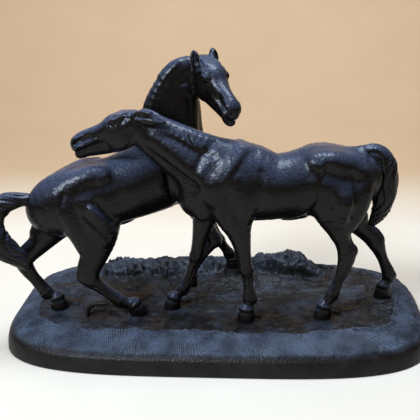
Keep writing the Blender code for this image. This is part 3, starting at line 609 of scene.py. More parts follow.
rearHorse = {
    "name": "rear_horse",
    "place": (-45.0, -1.5, 21.5),
    "torso": [
        (-96.0, 0, 112, 7, 10), (-92.0, 0, 113, 14, 17.5), (-81.0, 0, 115, 20.5, 24.5),
        (-65.0, 0, 119, 23.5, 26.5), (-50.0, 0, 121.5, 24, 26.5), (-34.0, 0, 123.5, 24, 27),
        (-17.0, 0, 127.5, 23.5, 28.5), (-2.0, 0, 131.5, 22.5, 29.5), (14.0, 0, 134, 20.5, 28.5),
        (27.0, 0, 134, 17.5, 25), (38.0, 0, 132, 13.5, 18),
    ],
    "neckJoint": 2,
    "neck": [
        (12.0, 0, 140, 16, 26), (12.5, -0.3, 153, 14.5, 26), (12.0, -1, 168, 12.6, 25),
        (13.2, -2, 186.5, 10.6, 22.6), (17.4, -2.8, 202.0, 9.2, 16.6), (25.0, -3.6, 209.5, 8.4, 12.5),
        (32.0, -4.2, 210.5, 8.0, 10.0),
    ],
    "poll": (36.9, -4.1, 212.8), "muzzle": (49.6, -54.4, 184.5), "headLeft": (0.971, 0.237, 0.013),
    "headScale": 1.07, "headLong": 0.92,
    "ears": [
        [(4.0, 6.5, 8.0, 2.9, 2.8), (1.5, 7.4, 11.0, 3.7, 3.2), (-1.5, 7.8, 13.4, 3.2, 2.8),
         (-3.6, 7.8, 15.2, 1.5, 1.4)],
        [(4.0, -6.5, 8.0, 2.9, 2.8), (1.5, -7.4, 11.0, 3.7, 3.2), (-1.5, -7.8, 13.4, 3.2, 2.8),
         (-3.6, -7.8, 15.2, 1.5, 1.4)],
    ],
    "earHollow": (0.5, 0.2, 1.0), "eye": (20.5, 8.2, 7.2),
    "tailJoint": 1,
    "tail": [
        (-88.0, 0, 118.5, 4.6, 5.4), (-98.5, 0, 121.8, 4.6, 4.6), (-109, -0.6, 124, 5, 5.4),
        (-121, -2, 123, 6, 7.8), (-131, -3.5, 116.5, 6.8, 10), (-135, -5, 106, 7, 11.4),
        (-131, -6, 95, 6.6, 11), (-122, -7, 85, 5.4, 9), (-112, -7.6, 75.5, 4.2, 6.4),
        (-105, -8, 68, 2.6, 3.6), (-101.5, -8, 63.5, 1.2, 1.4),
    ],
    "legs": {
        "left_foreleg": [
            (32, 10, 132, 8, 16), (34, 11.5, 112, 8, 12), (38, 12, 98, 6.8, 8.8), (43.5, 12.6, 85, 5.6, 6.6),
            (49, 13, 72, 4.8, 5.4), (54.5, 13, 62.5, 4.2, 4.7), (59.5, 13.2, 54.5, 3.4, 4),
            (63.5, 13.5, 48.5, 3.9, 4.8), (66, 14, 45, 3.7, 4.4), (67, 14.5, 42.2, 4.8, 5.4),
            (67.5, 15, 34.3, 5.8, 6.4)],
        "right_foreleg": [
            (29, -10, 132, 8, 16), (27, -11.5, 113, 8.4, 12.5), (31, -12.5, 99.5, 6.9, 9),
            (35.5, -13, 88.5, 5.6, 6.6), (40, -13.6, 78, 4.9, 5.8), (42.6, -14, 72.6, 4.6, 4.8)],
        "left_hindleg": [
            (-66, 10, 120, 11.5, 19), (-76, 11, 105, 10.5, 17), (-88, 11.4, 91.5, 8.4, 12.4),
            (-99, 11.6, 80.5, 6.2, 9), (-108, 11.6, 72.8, 5, 7.8), (-111.2, 11.2, 66.8, 4.7, 7.0),
            (-108.8, 10.6, 59.5, 4.1, 5.8), (-104.2, 10, 51.5, 3.4, 4.8), (-96.5, 9, 39.6, 4.1, 5.6),
            (-91.5, 8.2, 35.4, 3.7, 4.5), (-88.6, 7.6, 33.4, 5.1, 6), (-87, 7, 24.3, 6.3, 7.3)],
        "right_hindleg": [
            (-62, -10, 120, 12, 21), (-56, -12.5, 104, 11.5, 21), (-55.5, -15, 90.5, 9.6, 17),
            (-58.5, -17, 76.5, 6.9, 11.4), (-63, -18.2, 66.5, 5.2, 9), (-64, -18.6, 59.5, 4.8, 8.2),
            (-58.8, -19, 52.5, 4.1, 5.6), (-51.5, -19.8, 45.8, 3.5, 4.7), (-41.5, -21, 36.2, 4.1, 5.2),
            (-35.2, -21.6, 33, 3.8, 4.4), (-30.4, -22, 31.4, 5.1, 6), (-26.5, -22, 22.6, 6.3, 7.3)],
    },
    "folded": [(44.0, -14, 76.0, 4.6, 4.2), (39.5, -14, 71.0, 4.2, 4.6), (31.5, -14, 62.0, 3.2, 3.7),
               (23.5, -14, 53.5, 3.9, 4.8), (21.4, -14, 48, 3.6, 4.1), (20.8, -14, 45, 4.8, 5.4),
               (19.4, -14, 37, 5.8, 6.4)],
    "muscles": [
        [(5, 8.5, 158, 3.5, 6), (12, 13, 149, 5.5, 9), (21, 15, 138, 6.6, 10), (30, 13.5, 126, 6.5, 8.5)],
        [(5, -8.5, 158, 3.5, 6), (11, -13, 149, 5.5, 9), (19, -15, 138, 6.6, 10), (27, -13.5, 126, 6.5, 8.5)],
        [(16, 14, 142, 6, 8), (16, 16, 130, 7, 9.5), (23, 15, 117, 6.5, 8), (29, 13.5, 107, 5.5, 6)],
        [(13, -14, 142, 6, 8), (12, -16, 130, 7, 9.5), (16, -15.5, 117, 6.5, 8), (21, -14, 107, 5.5, 6)],
        [(32, 6.5, 136, 8, 9), (40, 6, 128, 6, 7.5), (36, 7, 116, 5.5, 6)],
        [(32, -6.5, 136, 8, 9), (40, -6, 128, 6, 7.5), (35, -7, 116, 5.5, 6)],
        [(-47, 12, 141, 6.5, 7), (-58, 12, 138.5, 9.5, 9), (-74, 9.5, 131, 9, 10), (-86, 8, 122, 7, 9)],
        [(-47, -12, 141, 6.5, 7), (-58, -12, 138.5, 9.5, 9), (-74, -9.5, 131, 9, 10), (-86, -8, 122, 7, 9)],
        [(-57, 16.5, 130, 6, 8), (-62, 18, 116, 7.5, 10), (-70, 17, 104, 7, 8.5), (-80, 15, 95, 5.5, 6.5)],
        [(-58, -14, 131, 6, 8), (-60, -18, 117, 8, 10), (-56, -19.5, 103, 8, 9), (-50, -18.5, 91, 6, 7)],
        [(-82, 12, 126, 7, 9), (-87, 13.5, 113, 7.5, 9), (-93, 13, 101, 6.5, 7), (-99, 12.5, 91, 5, 5.5)],
        [(-80, -12, 127, 7, 9), (-77, -15, 113, 8.5, 9), (-70, -16.5, 99, 8, 8.5), (-65, -17, 86, 6, 7)],
        [(-40, 0, 97.5, 5, 5), (-31, 0, 97, 4, 3.8), (-25, 0, 98, 3, 3)],
        [(9, -2.5, 209, 4.5, 5.5), (17, -3.0, 216.5, 5.6, 6.0), (26, -3.6, 219.6, 5.4, 5.4)],
        [(26, -6, 198, 5.5, 6), (26.5, -4, 188, 7.5, 8), (27, -2, 174, 9, 8.5), (29, 0, 158, 10, 9)],
        [(22, 1.5, 200, 4, 7), (22, 5.5, 188, 5, 8.5), (23, 9, 172, 6, 9), (25, 12, 155, 7, 9)],
        [(22, -8, 200, 4, 7), (22, -9.5, 188, 5, 8.5), (22, -11, 172, 6, 9), (23, -13, 155, 7, 9)],
    ],
    "strokes": [
        (0, 3.0, -0.9, [(8, 164), (22, 154), (34, 142), (40, 132)]),
        (0, 2.2, -0.9, [(2, 156), (12, 145), (20, 134), (20, 128)]),
        (0, 2.6, 0.4, [(7, 158), (17, 147), (26, 133)]),
        (-1, 3.0, -1.2, [(2, 148), (3, 130), (8, 114), (14, 105)]),
        (1, 3.0, -1.2, [(4, 148), (6, 130), (14, 112)]),
        (0, 8.0, -2.0, [(-40, 132), (-38, 122)]),
        (-1, 1.9, 2.2, [(-60, 119), (-52, 110), (-44, 100), (-40, 95)]),
        (-1, 3.2, -1.8, [(-54, 122), (-47, 113), (-42, 106)]),
        (1, 2.4, 1.2, [(-24, 99), (-36, 101), (-50, 105)]),
        (0, 4.0, 1.6, [(-45, 141), (-49, 139)]),
        (-1, 2.2, -1.4, [(-64, 113), (-55, 102), (-48, 93)]),
        (1, 2.3, -1.2, [(-70, 132), (-76, 116), (-84, 101)]),
        (-1, 1.9, -0.8, [(-78, 130), (-84, 114), (-78, 100)]),
        (0, 2.2, 0.8, [(-6, 187), (-1, 201), (8, 213), (18, 222)]),
        (0, 2.4, -0.8, [(24, 194), (24, 182), (26, 168), (29, 156)]),
    ],
    "mane": {"side": -1, "from": (-5, 176), "to": (14, 217), "count": 20,
             "length": 12.0, "height": 0.10, "wave": 1.6, "drift": 10.0},
    "tailLocks": {"count": 6, "depth": 0.8, "swirl": 0.4},
}


def headBasis(horse):
    poll = np.array(horse["poll"], float)
    along = np.array(horse["muzzle"], float) - poll
    along /= np.linalg.norm(along)
    left = np.array(horse["headLeft"], float)
    left -= along * left.dot(along)
    left /= np.linalg.norm(left)
    return poll, along, left, np.cross(along, left)


# Head shapes, from the poll along the head: (along, left, up, half width, half depth)
headShape = {
    "skull": [(-4, 0, 0.5, 6.4, 8.0), (3, 0, 3.6, 8.6, 10.6), (11, 0, 4.6, 10.0, 10.8), (17, 0, 4.8, 9.8, 10.2),
              (24, 0, 3.4, 8.4, 8.3), (32, 0, 2.2, 6.8, 7.5), (40, 0, 1.6, 5.8, 7.2), (47, 0, 1.2, 5.3, 6.8),
              (51.5, 0, 0.2, 4.6, 5.8)],
    "jaw": [(5, 0, -3.0, 6.0, 7.8), (12, 0, -4.8, 7.2, 8.4), (19, 0, -5.8, 7.2, 8.4), (26, 0, -6.4, 6.0, 7.4),
            (33, 0, -6.6, 4.8, 6.6), (41, 0, -6.6, 4.3, 5.8), (48, 0, -6.4, 4.2, 5.0)],
    "eyeRadius": 2.9,
    # around the eye, on each side: (width, amount, points (along, up) from its middle)
    "lids": [
        (3.2, -0.8, [(-2.5, -0.4), (3.2, -1.2)]),                             # socket
        (0.9, 1.0, [(-4.4, -0.6), (-2.6, 2.2), (0.6, 3.0), (3.6, 1.2), (5.2, -1.4)]),
        (0.9, 0.6, [(-4.2, -1.0), (-1.6, -3.0), (2.0, -3.2), (5.2, -1.8)]),
        (1.0, -0.35, [(-3.6, 4.4), (1.4, 4.8), (5.2, 2.8)]),
    ],
    # lines drawn on each side of the head: (width, amount, points (along, up))
    "lines": [
        (2.6, -1.1, [(5.5, 11.0), (8.0, 9.0)]),                               # temple
        (1.5, 1.3, [(33.0, 0.6), (42.0, -1.2), (51.0, -2.4)]),                # cheekbone
        (2.1, -2.0, [(39.0, 3.6), (45.0, 2.4), (51.0, 1.6)]),                 # long hollow of the nostril
        (1.2, -1.6, [(47.0, 2.2), (51.0, 1.4)]),
        (0.8, 0.8, [(44.0, 5.6), (50.0, 4.8), (53.4, 2.6), (53.6, -0.4)]),
        (2.0, -0.6, [(31.0, -3.4), (42.0, -5.0)]),              # under the cheekbone
        (0.75, -0.8, [(58.0, -5.6), (51.0, -5.6), (45.0, -4.4)]),              # mouth
        (1.4, -1.0, [(22.0, -13.5), (13.0, -12.0), (6.8, -7.0), (4.0, 1.0)]), # back of the jaw
        (0.8, 0.6, [(-1.0, 12.4), (6.0, 14.2), (13.0, 14.8)]),                # forelock
        (0.7, 0.5, [(0.0, 10.6), (6.0, 12.0), (10.0, 12.4)]),
    ],
}


def sculptHead(clay, horse):
    poll, along, left, up = headBasis(horse)
    scale = horse["headScale"]
    long = scale * horse["headLong"]

    def spot(u, v, n):
        return poll + along * u * long + (left * v + up * n) * scale

    def stations(rows):
        return [(*spot(u, v, n), w * scale, d * scale) for u, v, n, w, d in rows]

    def pad(centre, radii, softness, hollow=False):
        lump(clay, spot(*centre), [r * scale for r in radii], softness, axes, hollow)

    axes = np.array([along, left, up])
    sideways = (poll, along * long, up * scale, left * scale)
    add(clay, tube(clay, stations(headShape["skull"]), left, 4, squareness=2.5), 4.0)
    add(clay, tube(clay, stations(headShape["jaw"]), left, 4), 3.0)
    eyeAlong, eyeOut, eyeUp = horse["eye"]
    pad((52.0, 0, -2.0), (4.8, 4.8, 4.4), 2.4)                       # upper lip
    pad((50.6, 0, -8.2), (5.6, 4.3, 3.9), 1.8)                       # lower lip and chin
    for s in (1, -1):
        pad((15.0, 5.4 * s, -3.8), (10.5, 4.6, 9.2), 2.4)            # round cheek
        pad((49.6, 3.0 * s, 1.4), (5.2, 3.3, 4.6), 1.6)              # nostril wing
        pad((eyeAlong - 3.0, eyeOut * 0.86 * s, eyeUp + 2.4), (5.6, 3.0, 2.8), 2.4)      # brow
        pad((eyeAlong, eyeOut * s, eyeUp), (headShape["eyeRadius"],) * 3, 0.6)
        for width, amount, line in headShape["lids"]:
            drawn(clay, sideways, [(eyeAlong + u, eyeUp + n) for u, n in line], width, amount, s, (1.2, 30))
        for width, amount, line in headShape["lines"]:
            drawn(clay, sideways, line, width, amount, s, (1.2, 30))
        pad((53.2, 3.3 * s, 1.2), (2.3, 1.2, 1.8), 0.7, True)        # nostril
    drawn(clay, (poll, along * long, left * scale, up * scale), [(20, 0), (44, 0)], 1.8, 0.4, 1, (2, 30))
    for i, ear in enumerate(horse["ears"]):
        s = 1 if i == 0 else -1
        muscle(clay, stations(ear), 1.0, left)
        tilt, lift, ahead = horse["earHollow"]
        opening = left * s * tilt + up * lift + along * ahead
        opening /= np.linalg.norm(opening)
        hollow = []
        for u, v, n, w, d in ear[1:]:
            hollow.append((*(spot(u, v, n) + opening * max(w, d) * 0.8), w * 0.6, d * 0.6))
        remove(clay, tube(clay, hollow, left, 3, 2.0), 0.6)


def sculptHorse(clay, horse, parts):
    level = (np.zeros(3), np.array([1.0, 0, 0]), np.array([0, 0, 1.0]), np.array([0, 1.0, 0]))
    if "torso" in parts:
        add(clay, tube(clay, horse["torso"], upright, 3, 9.0), 1.0)
        dock = tube(clay, horse["tail"][:horse["tailJoint"] + 1], upright, 5, 8.0)
        if dock is not None:
            centre, along = jointPlane(horse["tail"], horse["tailJoint"])
            low = [clay.lines[i][dock[0][i].start] for i in range(3)]
            high = [clay.lines[i][dock[0][i].stop - 1] for i in range(3)]
            past = dot(clay.window(low, high)[1], centre, along)
            shared = tuple(slice(min(a, b)) for a, b in zip(past.shape, dock[1].shape))
            dock[1][shared] = np.maximum(dock[1][shared], past[shared] + seam)
            add(clay, dock, 5.0)
    for name, leg in horse["legs"].items():
        if "torso" in parts or name in parts:
            last = len(leg) if name in parts else 6
            add(clay, tube(clay, leg[:last], upright, 4, 6.0), 5.0)
    if "torso" in parts or "neck" in parts:
        add(clay, tube(clay, horse["neck"], upright, 4, 9.0), 8.0)
    if "neck" in parts:
        sculptHead(clay, horse)
    if "torso" in parts or "neck" in parts:
        for stations in horse["muscles"]:
            muscle(clay, stations)
        for facing, width, amount, line in horse["strokes"]:
            for s in ((1, -1) if facing == 0 else (facing,)):
                drawn(clay, level, line, width, amount, s, (2.0, 40.0))
    if "neck" in parts:
        sculptMane(clay, horse, level)


def sculptMane(clay, horse, level):
    mane = horse["mane"]
    start, end = np.array(mane["from"], float), np.array(mane["to"], float)
    run = (end - start) / np.linalg.norm(end - start)
    down = np.array([run[1], -run[0]])
    for k in range(mane["count"]):
        t = k / (mane["count"] - 1)
        top = start + (end - start) * t
        bow = mane["wave"] * math.sin(2.3 * k + 0.5)
        length = mane["length"] * (0.75 + 0.3 * math.sin(1.7 * k))
        line = []
        for j in range(8):
            q = j / 7
            aside = mane["drift"] * q + bow * math.sin(5.0 * q + k)
            line.append(top + down * length * (q - 0.12) - run * aside)
        drawn(clay, level, line, 0.95, mane["height"], mane["side"], (1.0, 40.0))
        drawn(clay, level, [p + run * 1.3 for p in line], 0.7, -mane["height"] * 1.3, mane["side"], (1.0, 40.0))


def jointPlane(stations, index):
    rings = curve(stations, 4)
    frames = ringFrames(rings, upright)
    centre, _, _, along = frames[index * 4]
    return centre, along


def planeSide(clay, centre, along):
    return dot(clay.window(clay.low, clay.low + clay.step * (clay.counts - 1))[1], centre, along)


def sawCut(stations, index, shift, outward):
    # where a casting is sawn off square, and how far round that the saw reaches
    centre, along = jointPlane(stations, index)
    return centre + along * shift, along * outward, max(stations[index][3:5]) * 1.25 + 3.0


def roomAround(clay, limbs, spread, margin):
    # how far each point lies outside the limbs, grown by spread; a limb is (stations, side direction)
    room = np.full(clay.counts, faraway, np.float32)
    for stations, side in limbs:
        made = tube(clay, stations, side, 3, margin)
        if made is not None:
            room[made[0]] = np.minimum(room[made[0]], made[1] - spread)
    return room


def openFor(clay, stations, index, spread):
    # take away the room of the separate casting that starts at this joint
    room = roomAround(clay, [(stations[max(index - 1, 0):], upright)], spread, spread + 4)
    beyond = np.maximum(room, spare - planeSide(clay, *jointPlane(stations, index)))
    clay.field = np.maximum(clay.field, -beyond)


def keepWithin(clay, room, stations, index):
    # keep only the clay inside the room and past the joint
    past = -spare - planeSide(clay, *jointPlane(stations, index))
    clay.field = np.maximum(clay.field, np.maximum(room, past))


def carveLeg(clay, horse, name, leg):
    # tendons, knees, hocks, fetlocks and hooves, from the leg's own stations
    hind = "hind" in name
    rings = np.array(leg, float)
    frames = ringFrames(rings, upright)
    hoof = len(leg) - 1
    if name == "right_foreleg" and "folded" in horse:
        hoof = None
    knee = 5

    def at(i, v=0.0, forward=0.0, down=0.0):
        centre, across, front, along = frames[i]
        return centre + across * v + front * forward + along * down

    def axesAt(i):
        return np.array([frames[i][3], frames[i][1], frames[i][2]])

    w, d = rings[knee][3:5]
    if hind:
        lump(clay, at(knee, 0, -d * 0.86, -3.2), (4.6, 2.2, 2.4), 1.6, axesAt(knee))        # point of the hock
        muscle(clay, [(*at(3, 0, -rings[3][4] * 0.72), 2.2, 2.2), (*at(4, 0, -rings[4][4] * 0.9), 1.7, 1.9),
                      (*at(knee, 0, -d * 0.9, -3.0), 1.8, 1.9)], 1.2)
        lump(clay, at(knee, 0, d * 0.35, 0.5), (4.6, w * 0.98, 2.8), 2.0, axesAt(knee))
    else:
        lump(clay, at(knee, 0, d * 0.25, 0.0), (4.8, w * 1.02, d * 0.82), 2.0, axesAt(knee))
        lump(clay, at(knee, 0, -d * 0.72, 0.8), (2.6, 2.0, 2.2), 1.6, axesAt(knee))
    if hoof is None:
        return
    fetlock = hoof - 3
    w, d = rings[fetlock][3:5]
    lump(clay, at(fetlock, 0, -d * 0.62, 0.8), (3.2, 2.6, 2.6), 1.6, axesAt(fetlock))       # tuft
    lump(clay, at(fetlock, 0, -d * 0.80, 2.8), (2.4, 1.3, 1.5), 1.2, axesAt(fetlock))
    lump(clay, at(fetlock, 0, d * 0.2, -0.2), (2.8, w * 0.98, d * 0.62), 1.5, axesAt(fetlock))


def carveLimbLines(clay, leg, fromStation, toStation, hoofStation):
    made = tube(clay, leg, upright, 4, 5.0, follow=True)
    if made is None:
        return
    cut, _, place, turn = made
    along = np.clip((place - fromStation) / 0.35, 0, 1) * np.clip((toStation - place) / 0.35, 0, 1)
    sideways = np.exp(-((np.abs(turn) - 1.95) / 0.26) ** 2)
    clay.field[cut] += 0.75 * along * sideways                   # between bone and tendon
    sideways = np.exp(-((np.abs(turn) - 1.15) / 0.22) ** 2)
    clay.field[cut] += 0.2 * along * sideways
    ring = np.exp(-((place - (hoofStation - 1.0)) / 0.10) ** 2)
    clay.field[cut] -= 0.45 * ring                               # coronet
    ring = np.exp(-((place - (hoofStation - 0.78)) / 0.07) ** 2)
    clay.field[cut] += 0.35 * ring


def toWorld(horse, points):
    x, y, turn = horse["place"]
    turn = math.radians(turn)
    c, s = math.cos(turn), math.sin(turn)
    out = points.copy()
    out[:, 0] = plinthMidX + x + points[:, 0] * c - points[:, 1] * s
    out[:, 1] = y + points[:, 0] * s + points[:, 1] * c
    return out


legJoint = 3         # the station where every lower leg is joined on
castGrain = [(1.7, 0.055), (0.9, 0.06), (8.0, 0.06)]
smoothGrain = [(1.4, 0.035), (6.0, 0.05)]


def finishCasting(clay, horse, node, grainAmounts, cuts=()):
    points, quads = clay.skin()
    mesh = makeMesh(node + "_casting", toWorld(horse, points), quads)
    roughen(mesh, grainAmounts)
    turned = []
    for centre, along, reach in cuts:
        ends = toWorld(horse, np.array([centre, np.array(centre) + along]))
        turned.append((Vector(ends[0] * mm), Vector(ends[1] - ends[0]), reach * mm))
    trimFlat(mesh, turned)
    return showPiece(node + "_casting", mesh, horseIron, [node])


def boxOf(stations, margin):
    rows = np.array(stations, float)
    reach = rows[:, 3:5].max(axis=1)[:, None] + margin
    return (rows[:, :3] - reach).min(axis=0), (rows[:, :3] + reach).max(axis=0)


def buildBody(horse):
    low, high = boxOf(horse["torso"] + horse["neck"][:horse["neckJoint"] + 1], 5)
    for leg in horse["legs"].values():
        legLow, legHigh = boxOf(leg[:legJoint + 1], 2)
        low, high = np.minimum(low, legLow), np.maximum(high, legHigh)
    clay = Clay(low, high, detail["body"])
    sculptHorse(clay, horse, {"torso"})
    cuts = []
    for leg in horse["legs"].values():
        openFor(clay, leg, legJoint, 4.0)
        cuts.append(sawCut(leg, legJoint, -seam, 1.0))
    openFor(clay, horse["neck"], horse["neckJoint"], 8.0)
    cuts.append(sawCut(horse["neck"], horse["neckJoint"], -seam, 1.0))
    finishCasting(clay, horse, horse["name"] + "_body", castGrain, cuts)


def buildHead(horse):
    poll, along, left, _ = headBasis(horse)
    neck, joint = horse["neck"], horse["neckJoint"]
    headEnds = [(*(poll + along * u), 13, 17) for u in (0, 20, 53)]
    clay = Clay(*boxOf(neck[joint:] + headEnds, 6), detail["head"])
    sculptHorse(clay, horse, {"torso", "neck"})
    keepWithin(clay, roomAround(clay, [(neck[joint - 1:], upright), (headEnds, left)], 8.0, 14), neck, joint)
    finishCasting(clay, horse, horse["name"] + "_head_neck", smoothGrain, [sawCut(neck, joint, seam, -1.0)])


def buildLeg(horse, legName, leg):
    folded = horse.get("folded") if legName == "right_foreleg" else None
    clay = Clay(*boxOf(leg[legJoint:] + (folded or []), 4), detail["leg"])
    sculptHorse(clay, horse, {"torso", legName})
    carveLeg(clay, horse, legName, leg)
    limbs = [(leg[legJoint - 1:], upright)]
    if folded:
        limbs.append((folded, upright))
        add(clay, tube(clay, folded, upright, 4, 5.0), 2.0)
        last = len(folded) - 1
        carveLimbLines(clay, folded, 1.2, 2.8, last)
        frames = ringFrames(np.array(folded, float), upright)
        centre, across, front, down = frames[3]
        # tuft of the raised fetlock
        lump(clay, centre - front * 3.2 + down * 0.8, (2.6, 2.4, 3.0), 1.6, np.array([front, across, down]))
        centre, _, _, down = frames[last]
    else:
        carveLimbLines(clay, leg, 5.6, len(leg) - 4.4, len(leg) - 1)
        centre, down = np.array(leg[-1][:3], float), np.array([0, 0, -1.0])
    keepWithin(clay, roomAround(clay, limbs, 4.0, 8), leg, legJoint)
    sole = (centre, down, 14.0)
    finishCasting(clay, horse, horse["name"] + "_" + legName, smoothGrain, [sawCut(leg, legJoint, seam, -1.0), sole])


def buildTail(horse):
    tail, joint, locks = horse["tail"], horse["tailJoint"], horse["tailLocks"]
    low, high = boxOf(tail[joint:], 3)
    clay = Clay(low, high, detail["tail"])
    cut, distance, place, turn = tube(clay, tail, upright, 5, 5.0, follow=True)
    grow = np.clip((place - 0.8) / 1.2, 0, 1)
    twist = turn + locks["swirl"] * place + 0.5 * np.sin(place * 2.1)
    groove = np.abs(np.sin(twist * locks["count"] / 2))
    fine = np.sin(twist * locks["count"] * 2 + 1.3 * np.sin(place * 3.0))
    clay.field[cut] = distance + grow * (locks["depth"] * (0.9 - 1.5 * np.sqrt(groove + 0.02)) + 0.16 * fine)
    body = Clay(low, high, detail["tail"])
    sculptHorse(body, horse, {"torso"})
    centre, along = jointPlane(tail, joint)
    side = planeSide(clay, centre, along)
    # the tail runs on from the dock and stays just clear of the rump
    clay.field = np.maximum(clay.field, -spare - side)
    clay.field = np.maximum(clay.field, np.where(side > 0.5, 0.12 - body.field, -5.0))
    finishCasting(clay, horse, horse["name"] + "_tail", smoothGrain, [(centre + along * seam, -along, 14.0)])


def buildHorse(horse):
    print("sculpting", horse["name"])
    buildBody(horse)
    buildHead(horse)
    for legName, leg in horse["legs"].items():
        buildLeg(horse, legName, leg)
    buildTail(horse)


for horse in (frontHorse, rearHorse):
    buildHorse(horse)

# The plinth: a hollow casting with a grass edge and a rocky ridge along its back
plinth = {
    "length": 345.0, "depth": 180.0, "cornerPower": 3.8, "wall": 5.0, "groundZ": 23.6,
    # (inset from the outline, height) up the outside of the rim
    "rim": [(0.0, 0.0), (0.1, 2.0), (0.6, 7.0), (2.0, 12.0), (5.5, 16.0), (12.0, 19.6), (20.0, 22.2), (29.0, 24.0)],
    "rimSectors": 1280, "grassFrom": 3.0, "grassTo": 27.0, "hatchPitch": 2.6, "hatchHeight": 0.24,
    # the ridge: (x, y, height above the ground, half width)
    "ridge": [(-112, 49, 0.0, 8), (-101, 50, 6.5, 13), (-88, 52, 10.0, 16), (-70, 53, 9.0, 16), (-54, 53, 9.5, 17),
              (-38, 53, 11.5, 18), (-18, 55, 10.5, 18), (4, 57, 11.5, 17), (26, 56, 11.5, 17), (44, 53, 15.0, 18),
              (60, 52, 17.5, 17), (73, 51, 18.5, 15), (84, 50, 9.0, 11), (94, 48, 0.0, 8)],
    # the banks in front of it and the dip by the rear horse: (x, y, height, radius along x, along y)
    "banks": [(4.0, 34.0, 5.0, 52.0, 26.0), (52.0, 30.0, 4.0, 34.0, 24.0), (-60.0, -33.0, -2.4, 34.0, 24.0)],
    "seats": 8.6, "blockSize": (10.0, 7.0), "ledge": 3.0,
}


def outlineAt(angle, inset):
    a = plinth["length"] / 2 - inset
    b = plinth["depth"] / 2 - inset
    c, s = np.cos(angle), np.sin(angle)
    power = plinth["cornerPower"]
    reach = (np.abs(c) ** power + np.abs(s) ** power) ** (-1 / power)
    return a * c * reach, b * s * reach


def blocks(x, y, sizeX, sizeY, seed):
    # broken stone seen from above: how far into its block a point lies, and a number for each block
    table = lattice(seed)
    gridX, gridY = x / sizeX, y / sizeY
    baseX, baseY = np.floor(gridX).astype(int), np.floor(gridY).astype(int)
    nearest = np.full(x.shape, 9.0)
    second = np.full(x.shape, 9.0)
    number = np.zeros(x.shape)
    for i in (-1, 0, 1):
        for j in (-1, 0, 1):
            cellX, cellY = baseX + i, baseY + j
            drawnNumbers = table[cellX % latticeSize, cellY % latticeSize]
            jitterX, jitterY = 0.42 * drawnNumbers[:, 0], 0.42 * drawnNumbers[:, 1]
            far = np.hypot(gridX - cellX - 0.5 - jitterX, gridY - cellY - 0.5 - jitterY)
            closer = far < nearest
            second = np.where(closer, nearest, np.minimum(second, far))
            number = np.where(closer, drawnNumbers[:, 2], number)
            nearest = np.where(closer, far, nearest)
    return second - nearest, number


def ridgeAt(x, y, wobble):
    rows = np.array(plinth["ridge"], float)
    height = np.interp(x, rows[:, 0], rows[:, 2])
    middle = np.interp(x, rows[:, 0], rows[:, 1])
    width = np.interp(x, rows[:, 0], rows[:, 3])
    across = np.abs(y - middle + wobble) / width
    return height * np.clip(1 - across ** 3, 0, 1)


def bankAt(x, y, wobble):
    rise = np.zeros_like(x)
    for bankX, bankY, height, radiusX, radiusY in plinth["banks"]:
        far = ((x - bankX + wobble) / radiusX) ** 2 + ((y - bankY + wobble) / radiusY) ** 2
        rise = rise + height * np.clip(1 - far, 0, 1) ** 1.5
    return rise


def swirls(x, y):
    # roots and ruts: crooked raised lines that curl round one another
    flat = flatPoints(x, y)
    bendX, bendY = 9.0 * grain(flat, 26.0, 41), 9.0 * grain(flat, 26.0, 42)
    crook = flatPoints(x + bendX, y * 1.5 + bendY)
    lines = np.abs(grain(crook, 15.0, 43))
    lesser = np.abs(grain(crook, 7.0, 44))
    return 1.5 * np.exp(-(lines / 0.13) ** 2) + 0.7 * np.exp(-(lesser / 0.14) ** 2) - 0.5


def groundAt(x, y, seats):
    flat = flatPoints(x, y)
    wobble = 3.0 * grain(flat, 9.0, 11)
    ridge = ridgeAt(x, y, wobble)
    stone = np.clip(ridge / 2.5, 0, 1)
    # broken blocks in worn, tilted ledges
    inside, number = blocks(x + wobble, y + 0.4 * wobble, *plinth["blockSize"], 13)
    small, smallNumber = blocks(x - wobble, y, 4.6, 3.2, 18)
    level = (ridge + 2.2 * number) / plinth["ledge"]
    part = np.clip((level - np.floor(level) - 0.5) / 0.25, 0, 1)
    ledges = (np.floor(level) + eased(part)) * plinth["ledge"]
    rough = 0.45 * ridge + 0.55 * np.maximum(ledges, 0)
    rough = rough - 3.0 * np.exp(-(inside / 0.12) ** 2) - 1.0 * np.exp(-(small / 0.14) ** 2) + 0.7 * smallNumber
    rough = rough + 0.45 * grain(flat, 2.2, 14)
    earth = swirls(x, y) + 0.9 * grain(flat, 12.0, 15) + 0.5 * grain(flat, 4.5, 16) + 0.3 * grain(flat, 2.2, 17)
    z = plinth["groundZ"] + bankAt(x, y, wobble) + stone * rough + earth * (1 - 0.8 * stone)
    for seatX, seatY, seatZ in seats:
        far = np.hypot(x - seatX, y - seatY) / plinth["seats"]
        angle = np.arctan2(y - seatY, x - seatX)
        edge = 1.0 + 0.10 * np.sin(3 * angle + seatX) + 0.06 * np.sin(7 * angle + seatY)
        blend = eased(np.clip((edge - far) / 0.32, 0, 1))
        z = z * (1 - blend) + seatZ * blend
    return z


def earthHighlight(x, y):
    # how much painted highlight the earth takes: patchy, stronger on the stones and towards the left end
    flat = flatPoints(x, y)
    patches = 0.12 + 0.24 * grain(flat, 13.0, 51) + 0.18 * grain(flat, 5.0, 52)
    stone = np.clip(ridgeAt(x, y, 3.0 * grain(flat, 9.0, 11)) / 3.0, 0, 1)
    return np.clip(patches + 0.4 * stone + 0.25 * np.clip((-60 - x) / 60, 0, 1), 0.05, 1)


def underAt(x, y):
    # the hollow follows the ground at an even wall thickness
    ridge = ridgeAt(x, y, 0.0)
    flat = flatPoints(x, y)
    top = plinth["groundZ"] + ridge * 0.9 + np.minimum(bankAt(x, y, 0.0), 3.0)
    return top - plinth["wall"] - 1.2 + 0.3 * grain(flat, 6.0, 31)


